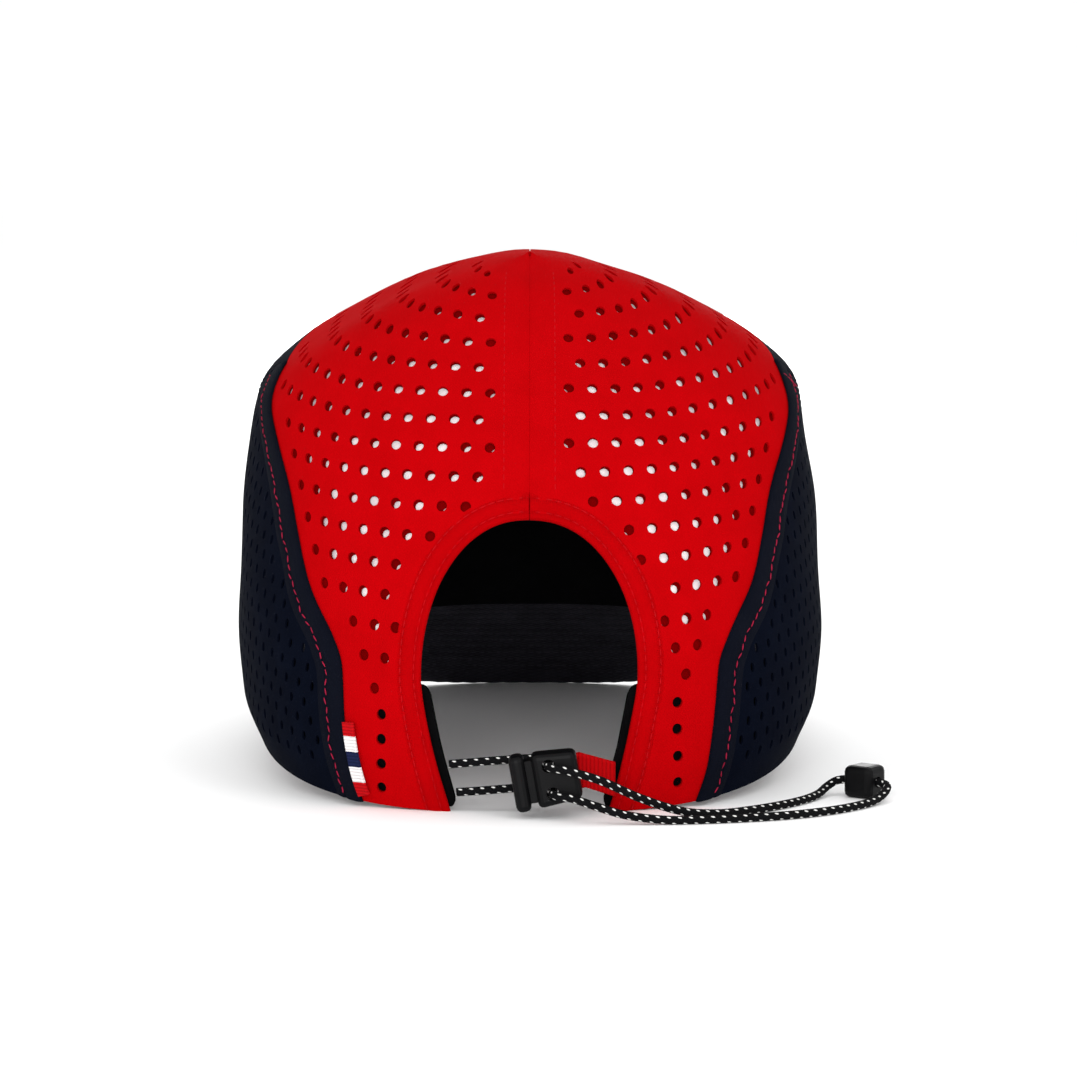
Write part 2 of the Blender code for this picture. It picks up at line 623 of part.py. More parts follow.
def brim_sections():
    """Closed cross sections of the brim from its -X end to its +X end, each rear to front and back."""
    end_turn = float(seam_turn(FRONT_SEAM, 0.0))
    tip = to_world(np.array([0.0, FRONT_DEPTH, 0.0]))[1] + BRIM_REACH
    corner = crown_point(end_turn, 0.0)
    across_shares = np.linspace(0.0, 1.0, BRIM_SECTION_POINTS)
    for share in np.linspace(-1.0, 1.0, BRIM_SECTIONS):
        turn = math.pi - share * (math.pi - end_turn)
        low = crown_point(turn, 0.0, -LAYER_GAP)
        high = crown_point(turn, BRIM_WALL, -LAYER_GAP)
        sweep = share * math.pi / 2.0
        out = abs(math.cos(sweep)) ** (2.0 / BRIM_EDGE_ROUNDNESS)
        side = math.copysign(abs(math.sin(sweep)) ** (2.0 / BRIM_EDGE_ROUNDNESS), share)
        x = BRIM_HALF_WIDTH * side
        y = corner[1] + LAYER_GAP + (tip - corner[1] - LAYER_GAP) * out
        z = corner[2] * abs(side) ** BRIM_EDGE_LIFT
        edge = np.array([x, y, z])
        reach = np.linalg.norm(edge - low) / (BRIM_REACH + LAYER_GAP)
        bulge = BRIM_BULGE * min(1.0, reach) * np.sin(math.pi * across_shares)
        up = np.array([0.0, 0.0, 1.0])
        under = low + (edge - low) * across_shares[:, None] + bulge[:, None] * up
        over = high + (edge + BRIM_WALL * up - high) * across_shares[:, None] + bulge[:, None] * up
        nose = (under[-1] + over[-1]) / 2.0
        forward = (edge - low) / max(np.linalg.norm(edge - low), MM)
        nose = nose + forward * BRIM_WALL / 3.0
        yield np.concatenate([under, nose[None, :], over[::-1]])


def outward(mesh):
    """Turns a closed mesh's faces to point out."""
    work = bmesh.new()
    work.from_mesh(mesh)
    bmesh.ops.recalc_face_normals(work, faces=work.faces)
    work.to_mesh(mesh)
    work.free()


def build_brim(collection, finishes):
    """Brim, lofted through cross sections from one end to the other."""
    sections = list(brim_sections())
    count = len(sections[0])
    points = np.concatenate(sections)
    starts = np.arange(len(sections) - 1) * count
    ring = [(i, (i + 1) % count) for i in range(count)]
    faces = [(start + i, start + j, start + count + j, start + count + i)
             for start in starts for i, j in ring]
    last = (len(sections) - 1) * count
    faces += [tuple(range(count))[::-1], tuple(range(last, last + count))]
    mesh = bpy.data.meshes.new("brim")
    mesh.from_pydata([tuple(point) for point in points], [], faces)
    outward(mesh)
    rest_on_floor(mesh)
    add_object("brim", mesh, finishes["navy"], collection)


def build_tab(collection, finishes):
    """Short striped ribbon sewn into the left seam, lying on the red panel."""
    rear = Pattern(0.0)
    ups = spread(rear.up(TAB_FOOT), rear.up(TAB_FOOT) + TAB_LENGTH, TAB_LENGTH, EDGE_SPACING)
    heights = rear.height(ups)
    rights = rear.flat(seam_turn(REAR_SEAM, heights), heights)[:, 0] - SEAM_GAP
    depth = -(LAYER_GAP + TAB_WALL)
    ladder("striped_tab", rear, ups, rights - TAB_WIDTH, rights, STRIP_COLUMNS, depth, TAB_WALL, -1,
           finishes["white"], collection)


def box(name, low, high, collection):
    """Box between two corners."""
    bpy.ops.mesh.primitive_cube_add(size=1.0)
    made = bpy.context.object
    made.name = name
    made.data.name = name
    low, high = Vector(low), Vector(high)
    made.data.transform(Matrix.Translation((low + high) / 2.0) @ Matrix.Diagonal((*(high - low), 1.0)))
    for held in list(made.users_collection):
        held.objects.unlink(made)
    collection.objects.link(made)
    return made


def bar(name, diameter, length, centre, collection):
    """Round bar along Y."""
    bpy.ops.mesh.primitive_cylinder_add(vertices=BAR_SIDES, radius=diameter / 2.0, depth=length)
    made = bpy.context.object
    made.name = name
    made.data.transform(Matrix.Translation(Vector(centre)) @ Matrix.Rotation(math.pi / 2.0, 4, "X"))
    for held in list(made.users_collection):
        held.objects.unlink(made)
    collection.objects.link(made)
    return made


def cut(target, cutter):
    """Takes one shape out of another."""
    cutter.hide_render = True
    cutter.display_type = "WIRE"
    change = target.modifiers.new(cutter.name, "BOOLEAN")
    change.operation = "DIFFERENCE"
    change.object = cutter


def join_to(target, other):
    """Makes one body of two shapes."""
    other.hide_render = True
    other.display_type = "WIRE"
    change = target.modifiers.new(other.name, "BOOLEAN")
    change.operation = "UNION"
    change.object = other


def soften(target, width):
    """Rounds a shape's edges."""
    change = target.modifiers.new("Rounding", "BEVEL")
    change.width = width
    change.segments = ROUNDING_SEGMENTS
    change.limit_method = "ANGLE"


def build_lock(collection, cutters, finishes):
    """Cord lock: a body with two cord holes and a button whose stem slides in it."""
    frame = bpy.data.objects.new("lock_frame", None)
    collection.objects.link(frame)
    frame.location = LOCK_PLACE
    frame.rotation_euler = (0.0, -LOCK_LEAN, 0.0)

    half_depth = LOCK_DEPTH / 2.0
    body = box("cord_lock_body", (0.0, -half_depth, -LOCK_HEIGHT / 2.0),
               (LOCK_LENGTH, half_depth, LOCK_HEIGHT / 2.0), collection)
    for vertex in body.data.vertices:
        if vertex.co.x > LOCK_LENGTH / 2.0:
            vertex.co.z *= LOCK_END_HEIGHT / LOCK_HEIGHT
    soften(body, LOCK_ROUNDING)
    slot_low = LOCK_HOLE_AT - BUTTON_TRAVEL - CORD_DIAMETER / 2.0 - CORD_CLEARANCE
    slot_high = LOCK_HOLE_AT + CORD_DIAMETER / 2.0 + CORD_CLEARANCE
    stem_end = slot_high + STEM_END_WALL
    pocket_end = stem_end + BUTTON_TRAVEL + STEM_CLEARANCE
    pocket_depth = STEM_DEPTH / 2.0 + STEM_CLEARANCE
    pocket_height = STEM_HEIGHT / 2.0 + STEM_CLEARANCE
    cut(body, box("pocket", (-LOCK_ROUNDING, -pocket_depth, -pocket_height),
                  (pocket_end, pocket_depth, pocket_height), cutters))
    for sign, word in ((1, "upper"), (-1, "lower")):
        centre = (LOCK_HOLE_AT, 0.0, sign * LOCK_HOLE_SPREAD)
        cut(body, bar(f"cord_hole_{word}", LOCK_HOLE_DIAMETER, 2.0 * LOCK_DEPTH, centre, cutters))
    slot_x = LOCK_LENGTH - POST_SIZE - POST_SLOT
    slot_y = half_depth - POST_SIZE - POST_SLOT
    slot_z = RIBBON_HEIGHT / 2.0 + RIBBON_CLEARANCE
    past = LOCK_ROUNDING
    cut(body, box("ribbon_slot_end", (slot_x, slot_y, -slot_z),
                  (LOCK_LENGTH + past, slot_y + POST_SLOT, slot_z), cutters))
    cut(body, box("ribbon_slot_back", (slot_x, slot_y, -slot_z),
                  (slot_x + POST_SLOT, half_depth + past, slot_z), cutters))

    head_low = -BUTTON_GAP - BUTTON_THICKNESS
    button = box("cord_lock_button", (head_low, -BUTTON_DEPTH / 2.0, -BUTTON_HEIGHT / 2.0),
                 (-BUTTON_GAP, BUTTON_DEPTH / 2.0, BUTTON_HEIGHT / 2.0), collection)
    soften(button, LOCK_ROUNDING)
    join_to(button, box("stem", (-BUTTON_GAP - LOCK_ROUNDING, -STEM_DEPTH / 2.0, -STEM_HEIGHT / 2.0),
                        (stem_end, STEM_DEPTH / 2.0, STEM_HEIGHT / 2.0), cutters))
    for sign, word in ((1, "upper"), (-1, "lower")):
        middle = sign * LOCK_HOLE_SPREAD
        half_slot = CORD_DIAMETER / 2.0 + CORD_CLEARANCE
        cut(button, box(f"stem_slot_{word}", (slot_low, -STEM_DEPTH, middle - half_slot),
                        (slot_high, STEM_DEPTH, middle + half_slot), cutters))
    for made in (body, button):
        made.data.materials.append(finishes["plastic"])
    for made in list(cutters.objects) + [body, button]:
        made.parent = frame
    return frame


def build_ribbon(collection, finishes):
    """Red ribbon loop round the post in the lock's corner, sewn to the +X arm."""
    lean = Matrix.Rotation(-LOCK_LEAN, 3, "Y")
    half = RIBBON_WALL / 2.0
    turn_x = LOCK_LENGTH - POST_SIZE - POST_SLOT / 2.0
    front_y = LOCK_DEPTH / 2.0 - POST_SIZE - POST_SLOT / 2.0
    back_y = LOCK_DEPTH / 2.0 + RIBBON_CLEARANCE + half
    chamfer = half
    out_x = LOCK_LENGTH + RIBBON_WALL
    bend = [(out_x, front_y), (turn_x + chamfer, front_y), (turn_x, front_y + chamfer),
            (turn_x, back_y - chamfer), (turn_x + chamfer, back_y), (out_x, back_y)]
    places = [LOCK_PLACE + lean @ Vector((x, y, 0.0)) for x, y in bend]
    rises = [lean @ Vector((0.0, 0.0, 1.0)) for _ in bend]
    arm_turn = turn_from_across(arch_half_width(RIBBON_END_HEIGHT), RIBBON_END_HEIGHT)
    arm = Vector(crown_point(arm_turn, RIBBON_END_HEIGHT))
    arm.x -= CLOTH_WALL
    apart = half + RIBBON_CLEARANCE / 2.0
    ends = [arm + Vector((0.0, -2.0 * apart, 0.0)), arm]
    places = [ends[0]] + places + [ends[1]]
    rises = [Vector((0.0, 0.0, 1.0))] + rises + [Vector((0.0, 0.0, 1.0))]
    points = []
    for i, (place, rise) in enumerate(zip(places, rises)):
        ways = []
        if i > 0:
            ways.append((place - places[i - 1]).xy.normalized())
        if i < len(places) - 1:
            ways.append((places[i + 1] - place).xy.normalized())
        normals = [Vector((-way.y, way.x)) for way in ways]
        mitre = sum(normals, Vector((0.0, 0.0))).normalized()
        mitre /= mitre.dot(normals[0])
        offset = Vector((mitre.x, mitre.y, 0.0)) * half
        for up, out in ((-1, -1), (-1, 1), (1, 1), (1, -1)):
            points.append(place + out * offset + up * RIBBON_HEIGHT / 2.0 * rise)
    faces = [(4 * s + i, 4 * s + (i + 1) % 4, 4 * s + 4 + (i + 1) % 4, 4 * s + 4 + i)
             for s in range(len(places) - 1) for i in range(4)]
    last = 4 * (len(places) - 1)
    faces += [(3, 2, 1, 0), (last, last + 1, last + 2, last + 3)]
    mesh = bpy.data.meshes.new("lock_ribbon")
    mesh.from_pydata([tuple(point) for point in points], [], faces)
    outward(mesh)
    add_object("lock_ribbon", mesh, finishes["red"], collection)


def smooth_curve(points, count):
    """Points evenly spread on one smooth curve through chosen points."""
    points = np.array([tuple(point) for point in points])
    padded = np.concatenate([2.0 * points[:1] - points[1:2], points, 2.0 * points[-1:] - points[-2:-1]])
    fine = []
    for i in range(1, len(padded) - 2):
        before, start, end, after = padded[i - 1:i + 3]
        for t in np.linspace(0.0, 1.0, CORD_STEPS, endpoint=False):
            fine.append(0.5 * (2.0 * start + (end - before) * t
                               + (2.0 * before - 5.0 * start + 4.0 * end - after) * t**2
                               + (3.0 * start - before - 3.0 * end + after) * t**3))
    fine = np.array(fine + [points[-1]])
    steps = np.linalg.norm(np.diff(fine, axis=0), axis=1)
    along = np.concatenate([[0.0], np.cumsum(steps)])
    wanted = np.linspace(0.0, along[-1], count)
    return np.stack([np.interp(wanted, along, fine[:, axis]) for axis in range(3)], axis=1)


# The elastic cord's route in millimetres: from the -X arm through the lock's upper hole, over the
# floor to the toggle, and back through the lower hole to the same arm.
CORD_ROUTE = (
    (-22.0, -94.1, 13.0), (-15.0, -94.1, 13.6), (-7.0, -94.1, 14.2), (0.3, -94.4, 14.7),
    (3.7, -95.7, 14.75), (5.1, -99.0, 14.75), (5.1, -103.8, 14.75), (5.1, -108.6, 14.75),
    (6.5, -112.0, 14.7), (9.9, -113.5, 14.4), (19.0, -114.0, 11.8), (29.9, -112.8, 6.8),
    (40.9, -109.2, 2.7), (50.6, -104.8, 1.25), (60.4, -98.8, 1.2), (69.2, -90.4, 1.2),
    (75.5, -82.1, 1.2), (79.8, -74.5, 1.5), (82.7, -68.6, 2.7), (85.6, -66.4, 4.0),
    (89.4, -67.4, 4.5), (93.0, -70.0, 4.5), (96.6, -72.6, 4.5), (98.8, -75.7, 4.0),
    (97.9, -79.6, 2.7), (94.8, -85.0, 1.5), (89.5, -92.1, 1.2), (81.7, -99.9, 1.2),
    (71.9, -106.3, 1.2), (60.6, -110.8, 1.2), (48.9, -113.8, 1.2), (37.0, -115.4, 1.3),
    (26.0, -115.4, 2.6), (17.5, -114.6, 5.0), (11.3, -113.3, 6.8), (7.8, -112.0, 7.1),
    (6.4, -108.6, 7.15), (6.4, -103.8, 7.15), (6.4, -99.0, 7.15), (5.0, -95.7, 7.1),
    (1.6, -94.4, 6.9), (-6.0, -94.1, 6.3), (-13.5, -94.1, 5.7), (-20.0, -94.1, 5.3),
)


def build_cord(collection, finishes):
    """Elastic cord, a round tube along its route."""
    curve = bpy.data.curves.new("elastic_cord", "CURVE")
    curve.dimensions = "3D"
    line = curve.splines.new("POLY")
    places = smooth_curve([Vector(point) * MM for point in CORD_ROUTE], CORD_SAMPLES)
    line.points.add(len(places) - 1)
    for point, place in zip(line.points, places):
        point.co = (*place, 1.0)
    curve.bevel_depth = CORD_DIAMETER / 2.0
    curve.bevel_resolution = 2
    curve.use_fill_caps = True
    curve.materials.append(finishes["black"])
    collection.objects.link(bpy.data.objects.new("elastic_cord", curve))


def build_toggle(collection, cutters, finishes):
    """Rounded toggle that lies on the floor at the end of the cord loop."""
    half = TOGGLE_SIZE / 2.0
    toggle = box("cord_toggle", (-half, -half, -half), (half, half, half), collection)
    soften(toggle, TOGGLE_ROUNDING)
    hole = bar("toggle_hole", TOGGLE_HOLE_DIAMETER, 2.0 * TOGGLE_SIZE, (0.0, 0.0, 0.0), cutters)
    hole.data.transform(Matrix.Rotation(math.pi / 2.0, 4, "Z"))
    cut(toggle, hole)
    for made in (toggle, hole):
        made.location = (TOGGLE_PLACE.x, TOGGLE_PLACE.y, half)
        made.rotation_euler = (0.0, 0.0, TOGGLE_TURN)
    toggle.data.materials.append(finishes["plastic"])


def centre_on_origin(collection, cutters):
    """Moves the cap so that the origin lies under the middle of its length, cord apart."""
    brim_front = max(vertex.co.y for vertex in bpy.data.objects["brim"].data.vertices)
    lock_back = LOCK_PLACE.y - LOCK_DEPTH / 2.0
    frame = bpy.data.objects.new("cap_frame", None)
    frame.location = (0.0, -(brim_front + lock_back) / 2.0, 0.0)
    for made in list(collection.objects) + list(cutters.objects):
        if made.parent is None:
            made.parent = frame
    collection.objects.link(frame)


def main():
    """Clears the scene and builds the cap."""
    for old in list(bpy.data.objects):
        bpy.data.objects.remove(old, do_unlink=True)
    collection = bpy.data.collections.new("running_cap")
    cutters = bpy.data.collections.new("cutters")
    bpy.context.scene.collection.children.link(collection)
    bpy.context.scene.collection.children.link(cutters)
    finishes = {
        "red": material("red_cloth", (0.62, 0.0, 0.005), 0.75),
        "navy": material("navy_cloth", (0.006, 0.012, 0.03), 0.8),
        "black": material("black_cloth", (0.008, 0.008, 0.01), 0.9),
        "white": material("white_cloth", (0.8, 0.78, 0.78), 0.85),
        "plastic": material("black_plastic", (0.01, 0.01, 0.012), 0.35),
    }
    build_crown(collection, finishes)
    build_lining(collection, finishes)
    build_sweatband(collection, finishes)
    build_brim(collection, finishes)
    build_tab(collection, finishes)
    build_lock(collection, cutters, finishes)
    build_ribbon(collection, finishes)
    build_cord(collection, finishes)
    build_toggle(collection, cutters, finishes)
    centre_on_origin(collection, cutters)


main()
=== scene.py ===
"""Looks of a running cap: perforated cloth, stitching, webbing, cord and moulded parts round a fixed frame.

+Z is up, the brim points to +Y and the floor is z = 0. Lengths are in metres. A place on the crown is
given by its turn, which is 0 at the middle of the rear and positive towards +X, and by its height,
square to the plane of the hem. A place on a pattern is the girth from a middle line and the length up it.
"""
from __future__ import annotations

import json
import logging
import math
from contextlib import contextmanager
from dataclasses import dataclass
from enum import Enum
from typing import Callable, Iterator, Sequence

import bpy
import numpy as np
from mathutils import Matrix, Vector

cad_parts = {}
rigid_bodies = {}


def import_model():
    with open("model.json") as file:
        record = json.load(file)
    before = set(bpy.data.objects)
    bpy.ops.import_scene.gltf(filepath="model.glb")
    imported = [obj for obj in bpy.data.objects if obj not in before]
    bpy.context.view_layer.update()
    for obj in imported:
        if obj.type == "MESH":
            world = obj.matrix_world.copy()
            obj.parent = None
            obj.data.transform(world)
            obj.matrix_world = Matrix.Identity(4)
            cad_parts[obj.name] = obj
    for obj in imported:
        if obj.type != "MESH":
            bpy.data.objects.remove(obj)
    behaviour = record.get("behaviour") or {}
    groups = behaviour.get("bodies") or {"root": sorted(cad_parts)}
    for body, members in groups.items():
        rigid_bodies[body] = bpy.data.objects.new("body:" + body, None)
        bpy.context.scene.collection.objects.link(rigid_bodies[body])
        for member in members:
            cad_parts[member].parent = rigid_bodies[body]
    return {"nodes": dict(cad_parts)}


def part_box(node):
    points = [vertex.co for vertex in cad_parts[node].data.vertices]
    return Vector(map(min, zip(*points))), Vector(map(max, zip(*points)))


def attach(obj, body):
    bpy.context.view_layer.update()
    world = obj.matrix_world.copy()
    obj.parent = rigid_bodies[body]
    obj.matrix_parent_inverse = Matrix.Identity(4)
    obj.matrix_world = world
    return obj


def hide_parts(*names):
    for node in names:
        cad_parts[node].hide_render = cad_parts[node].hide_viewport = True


MM = 0.001
UV_PER_METRE = 10.0
WELD = 0.001 * MM
OUTLINE_STEP = 2.5 * MM
PATTERN_UV = "pattern"

log = logging.getLogger("running_cap")

Colour = tuple[float, float, float]
Places = Callable[[np.ndarray, np.ndarray], np.ndarray]


class Side(Enum):
    """The two halves of the cap, seen from behind."""

    LEFT = -1
    RIGHT = 1

    @property
    def word(self) -> str:
        """Name of the side as it stands in a piece's name."""
        return self.name.lower()


class Body(Enum):
    """Bodies of the frame that this script's own pieces ride on."""

    CAP = "cap"


# Crown


@dataclass(frozen=True)
class Section:
    """Level section of the crown, as shares of the crown's sizes."""

    rise: float
    width: float
    rear: float
    front: float
    square: float


@dataclass(frozen=True)
class SeamRow:
    """Turn of a seam, in degrees, at a share of the crown's height."""

    rise: float
    turn: float


CROWN_SECTIONS = (
    Section(rise=0.000, width=0.940, rear=1.000, front=1.000, square=2.60),
    Section(rise=0.090, width=0.995, rear=1.006, front=1.000, square=2.55),
    Section(rise=0.200, width=1.003, rear=1.004, front=0.990, square=2.50),
    Section(rise=0.340, width=0.997, rear=0.975, front=0.965, square=2.45),
    Section(rise=0.470, width=0.988, rear=0.905, front=0.920, square=2.40),
    Section(rise=0.590, width=0.960, rear=0.800, front=0.850, square=2.40),
    Section(rise=0.700, width=0.925, rear=0.680, front=0.750, square=2.40),
    Section(rise=0.780, width=0.812, rear=0.570, front=0.650, square=2.35),
    Section(rise=0.850, width=0.643, rear=0.455, front=0.530, square=2.25),
    Section(rise=0.915, width=0.444, rear=0.335, front=0.395, square=2.15),
    Section(rise=0.965, width=0.225, rear=0.205, front=0.245, square=2.05),
    Section(rise=1.000, width=0.000, rear=0.000, front=0.000, square=2.00),
)

REAR_SEAM = (
    SeamRow(rise=0.000, turn=28.0),
    SeamRow(rise=0.050, turn=29.2),
    SeamRow(rise=0.150, turn=30.8),
    SeamRow(rise=0.280, turn=32.3),
    SeamRow(rise=0.340, turn=35.0),
    SeamRow(rise=0.420, turn=41.3),
    SeamRow(rise=0.500, turn=46.3),
    SeamRow(rise=0.580, turn=53.0),
    SeamRow(rise=0.650, turn=61.5),
    SeamRow(rise=0.700, turn=69.5),
    SeamRow(rise=0.740, turn=79.0),
    SeamRow(rise=0.765, turn=88.0),
)

FRONT_SEAM = (
    SeamRow(rise=0.000, turn=119.0),
    SeamRow(rise=0.200, turn=116.0),
    SeamRow(rise=0.350, turn=112.5),
    SeamRow(rise=0.500, turn=108.0),
    SeamRow(rise=0.620, turn=103.0),
    SeamRow(rise=0.700, turn=98.5),
    SeamRow(rise=0.740, turn=95.0),
    SeamRow(rise=0.765, turn=92.0),
)

RIDGE = (
    SeamRow(rise=0.765, turn=90.0),
    SeamRow(rise=0.800, turn=108.0),
    SeamRow(rise=0.850, turn=123.0),
    SeamRow(rise=0.900, turn=144.0),
    SeamRow(rise=0.925, turn=161.0),
    SeamRow(rise=0.940, turn=179.5),
)


def column(rows: Sequence[object], name: str) -> np.ndarray:
    """One column of a table as an array."""
    return np.array([getattr(row, name) for row in rows], dtype=float)


def ease(shares: np.ndarray, values: np.ndarray, at: np.ndarray) -> np.ndarray:
    """Cubic through a table's rows that never overshoots them.

    Args:
        shares: Rising places of the rows.
        values: Value of each row.
        at: Places to read.

    Returns:
        Values at those places.
    """
    at = np.clip(at, shares[0], shares[-1])
    rises = np.diff(values) / np.diff(shares)
    slopes = np.concatenate([rises[:1], np.zeros(len(shares) - 2), rises[-1:]])
    for i in range(1, len(shares) - 1):
        if rises[i - 1] * rises[i] > 0.0:
            slopes[i] = 2.0 * rises[i - 1] * rises[i] / (rises[i - 1] + rises[i])
    k = np.clip(np.searchsorted(shares, at) - 1, 0, len(shares) - 2)
    span = shares[k + 1] - shares[k]
    t = (at - shares[k]) / span
    return ((2 * t**3 - 3 * t**2 + 1) * values[k] + (t**3 - 2 * t**2 + t) * span * slopes[k]
            + (3 * t**2 - 2 * t**3) * values[k + 1] + (t**3 - t**2) * span * slopes[k + 1])


def nearest(share: np.ndarray, count: int) -> np.ndarray:
    """Index of the nearest of so many even steps."""
    return np.rint(share * (count - 1)).astype(int)


def soft_step(values: np.ndarray, low: float, high: float) -> np.ndarray:
    """Smooth rise from 0 at low to 1 at high."""
    share = np.clip((np.asarray(values, float) - low) / (high - low), 0.0, 1.0)
    return share * share * (3.0 - 2.0 * share)


@dataclass(frozen=True)
class Crown:
    """Outer face of the crown, with the soft unevenness of its cloth."""

    middle: float
    half_width: float = 83.0 * MM
    rear_depth: float = 97.0 * MM
    front_depth: float = 97.0 * MM
    height: float = 134.0 * MM
    hem_slope: float = math.radians(9.8)
    hem_pressed: float = 0.3 * MM
    arch_height: float = 78.0 * MM
    arch_half_width: float = 29.6 * MM
    arch_waist: float = 37.0 * MM
    arch_foot: float = 21.6 * MM
    arch_squareness: float = 2.2
    arch_foot_curve: float = 1.35
    ripple: float = 0.45 * MM
    fold: float = 0.65 * MM
    fold_pitch: float = 10.0 * MM

    def section_at(self, height: np.ndarray) -> tuple[np.ndarray, np.ndarray, np.ndarray, np.ndarray]:
        """Half width, rear depth, front depth and squareness at a height."""
        rise = np.asarray(height, dtype=float) / self.height
        shares = column(CROWN_SECTIONS, "rise")
        tiny = 1e-9
        width = np.maximum(self.half_width * ease(shares, column(CROWN_SECTIONS, "width"), rise), tiny)
        rear = np.maximum(self.rear_depth * ease(shares, column(CROWN_SECTIONS, "rear"), rise), tiny)
        front = np.maximum(self.front_depth * ease(shares, column(CROWN_SECTIONS, "front"), rise), tiny)
        return width, rear, front, ease(shares, column(CROWN_SECTIONS, "square"), rise)

    def level_point(self, turn: np.ndarray, height: np.ndarray) -> np.ndarray:
        """Place on the outer face, in the frame of the hem's plane."""
        turn, height = np.broadcast_arrays(np.asarray(turn, float), np.asarray(height, float))
        width, rear, front, square = self.section_at(height)
        sine, cosine = np.sin(turn), np.cos(turn)
        depth = np.where(cosine >= 0.0, rear, front)
        radius = (np.abs(sine / width) ** square + np.abs(cosine / depth) ** square) ** (-1.0 / square)
        return np.stack([radius * sine, -radius * cosine, height], axis=-1)

    def level_normal(self, turn: np.ndarray, height: np.ndarray) -> np.ndarray:
        """Outward normal, in the frame of the hem's plane."""
        step_turn = 1e-4
        step_height = 1e-6
        low = np.clip(np.asarray(height, float), 0.0, self.height - 2.0 * step_height)
        along = self.level_point(turn + step_turn, low) - self.level_point(turn - step_turn, low)
        up = self.level_point(turn, low + step_height) - self.level_point(turn, low)
        normal = np.cross(along, up)
        return normal / np.linalg.norm(normal, axis=-1, keepdims=True)

    def to_world(self, points: np.ndarray) -> np.ndarray:
        """Places from the hem's plane to the frame of the floor."""
        turned = self.to_world_way(points)
        lift = self.rear_depth * math.sin(self.hem_slope) - self.hem_pressed
        return turned + np.array([0.0, self.middle, lift])

    def to_world_way(self, ways: np.ndarray) -> np.ndarray:
        """Directions from the hem's plane to the frame of the floor."""
        sine, cosine = math.sin(self.hem_slope), math.cos(self.hem_slope)
        across, ahead, up = ways[..., 0], ways[..., 1], ways[..., 2]
        return np.stack([across, ahead * cosine - up * sine, ahead * sine + up * cosine], axis=-1)

    def unevenness(self, turn: np.ndarray, height: np.ndarray) -> np.ndarray:
        """Depth of the cloth's ripples, and of the folds that run down beside the arch."""
        rise = np.asarray(height, float) / self.height
        ripple = (np.sin(3.0 * turn + 7.0 * rise) + 0.7 * np.sin(5.0 * turn - 11.0 * rise + 1.0)
                  + 0.5 * np.sin(9.0 * turn + 17.0 * rise + 2.0))
        ripple *= self.ripple * soft_step(rise, 0.05, 0.25) * (1.0 - soft_step(rise, 0.9, 1.0))
        across = np.abs(self.level_point(turn, height)[..., 0]) - self.arch_reach(height)
        beside = np.exp(-np.abs(across) / (1.5 * self.fold_pitch)) * (np.abs(turn) < math.pi / 2.0)
        fold = np.sin(2.0 * math.pi * across / self.fold_pitch + np.sign(turn) * 0.8) * beside
        fold *= self.fold * soft_step(rise, 0.02, 0.12) * (1.0 - soft_step(rise, 0.45, 0.62))
        return ripple + fold

    def point(self, turn: np.ndarray, height: np.ndarray, depth: np.ndarray,
              even: bool = False) -> np.ndarray:
        """World place at a depth inside the crown's outer face.

        Args:
            turn: Turn of each place, signed.
            height: Height of each place.
            depth: Depth of each place below the cloth's outer face.
            even: Leaves out the cloth's unevenness.

        Returns:
            One row of world coordinates for each place.
        """
        below = np.asarray(depth, float)
        if not even:
            below = below + self.unevenness(turn, height)
        inward = self.level_normal(turn, height) * np.asarray(below)[..., None]
        return self.to_world(self.level_point(turn, height) - inward)

    def normal(self, turn: np.ndarray, height: np.ndarray) -> np.ndarray:
        """Outward normal in the frame of the floor."""
        return self.to_world_way(self.level_normal(turn, height))

    def turn_from_across(self, across: np.ndarray, height: np.ndarray) -> np.ndarray:
        """Turn of the rear face at a distance across from the middle."""
        width, rear, _, square = self.section_at(height)
        share = np.clip(np.abs(across) / width, 0.0, 1.0)
        behind = rear * (1.0 - share**square) ** (1.0 / square)
        return np.arctan2(across, behind)

    def seam_turn(self, rows: Sequence[SeamRow], height: np.ndarray) -> np.ndarray:
        """Turn of a seam at a height."""
        rise = np.asarray(height, float) / self.height
        return np.radians(ease(column(rows, "rise"), column(rows, "turn"), rise))

    def arch_reach(self, height: np.ndarray) -> np.ndarray:
        """Half width of the arch at a height, 0 above it."""
        height = np.asarray(height, dtype=float)
        above = np.clip((height - self.arch_waist) / (self.arch_height - self.arch_waist), 0.0, 1.0)
        top = self.arch_half_width * (1.0 - above**self.arch_squareness) ** (1.0 / self.arch_squareness)
        below = np.clip(height / self.arch_waist, 0.0, 1.0)
        foot = 1.0 - (1.0 - below) ** self.arch_foot_curve
        reach = self.arch_foot + (self.arch_half_width - self.arch_foot) * foot
        return np.where(height > self.arch_waist, top, reach)

    @property
    def shoulder(self) -> float:
        """Height where the side seams meet the seam over the top."""
        return REAR_SEAM[-1].rise * self.height


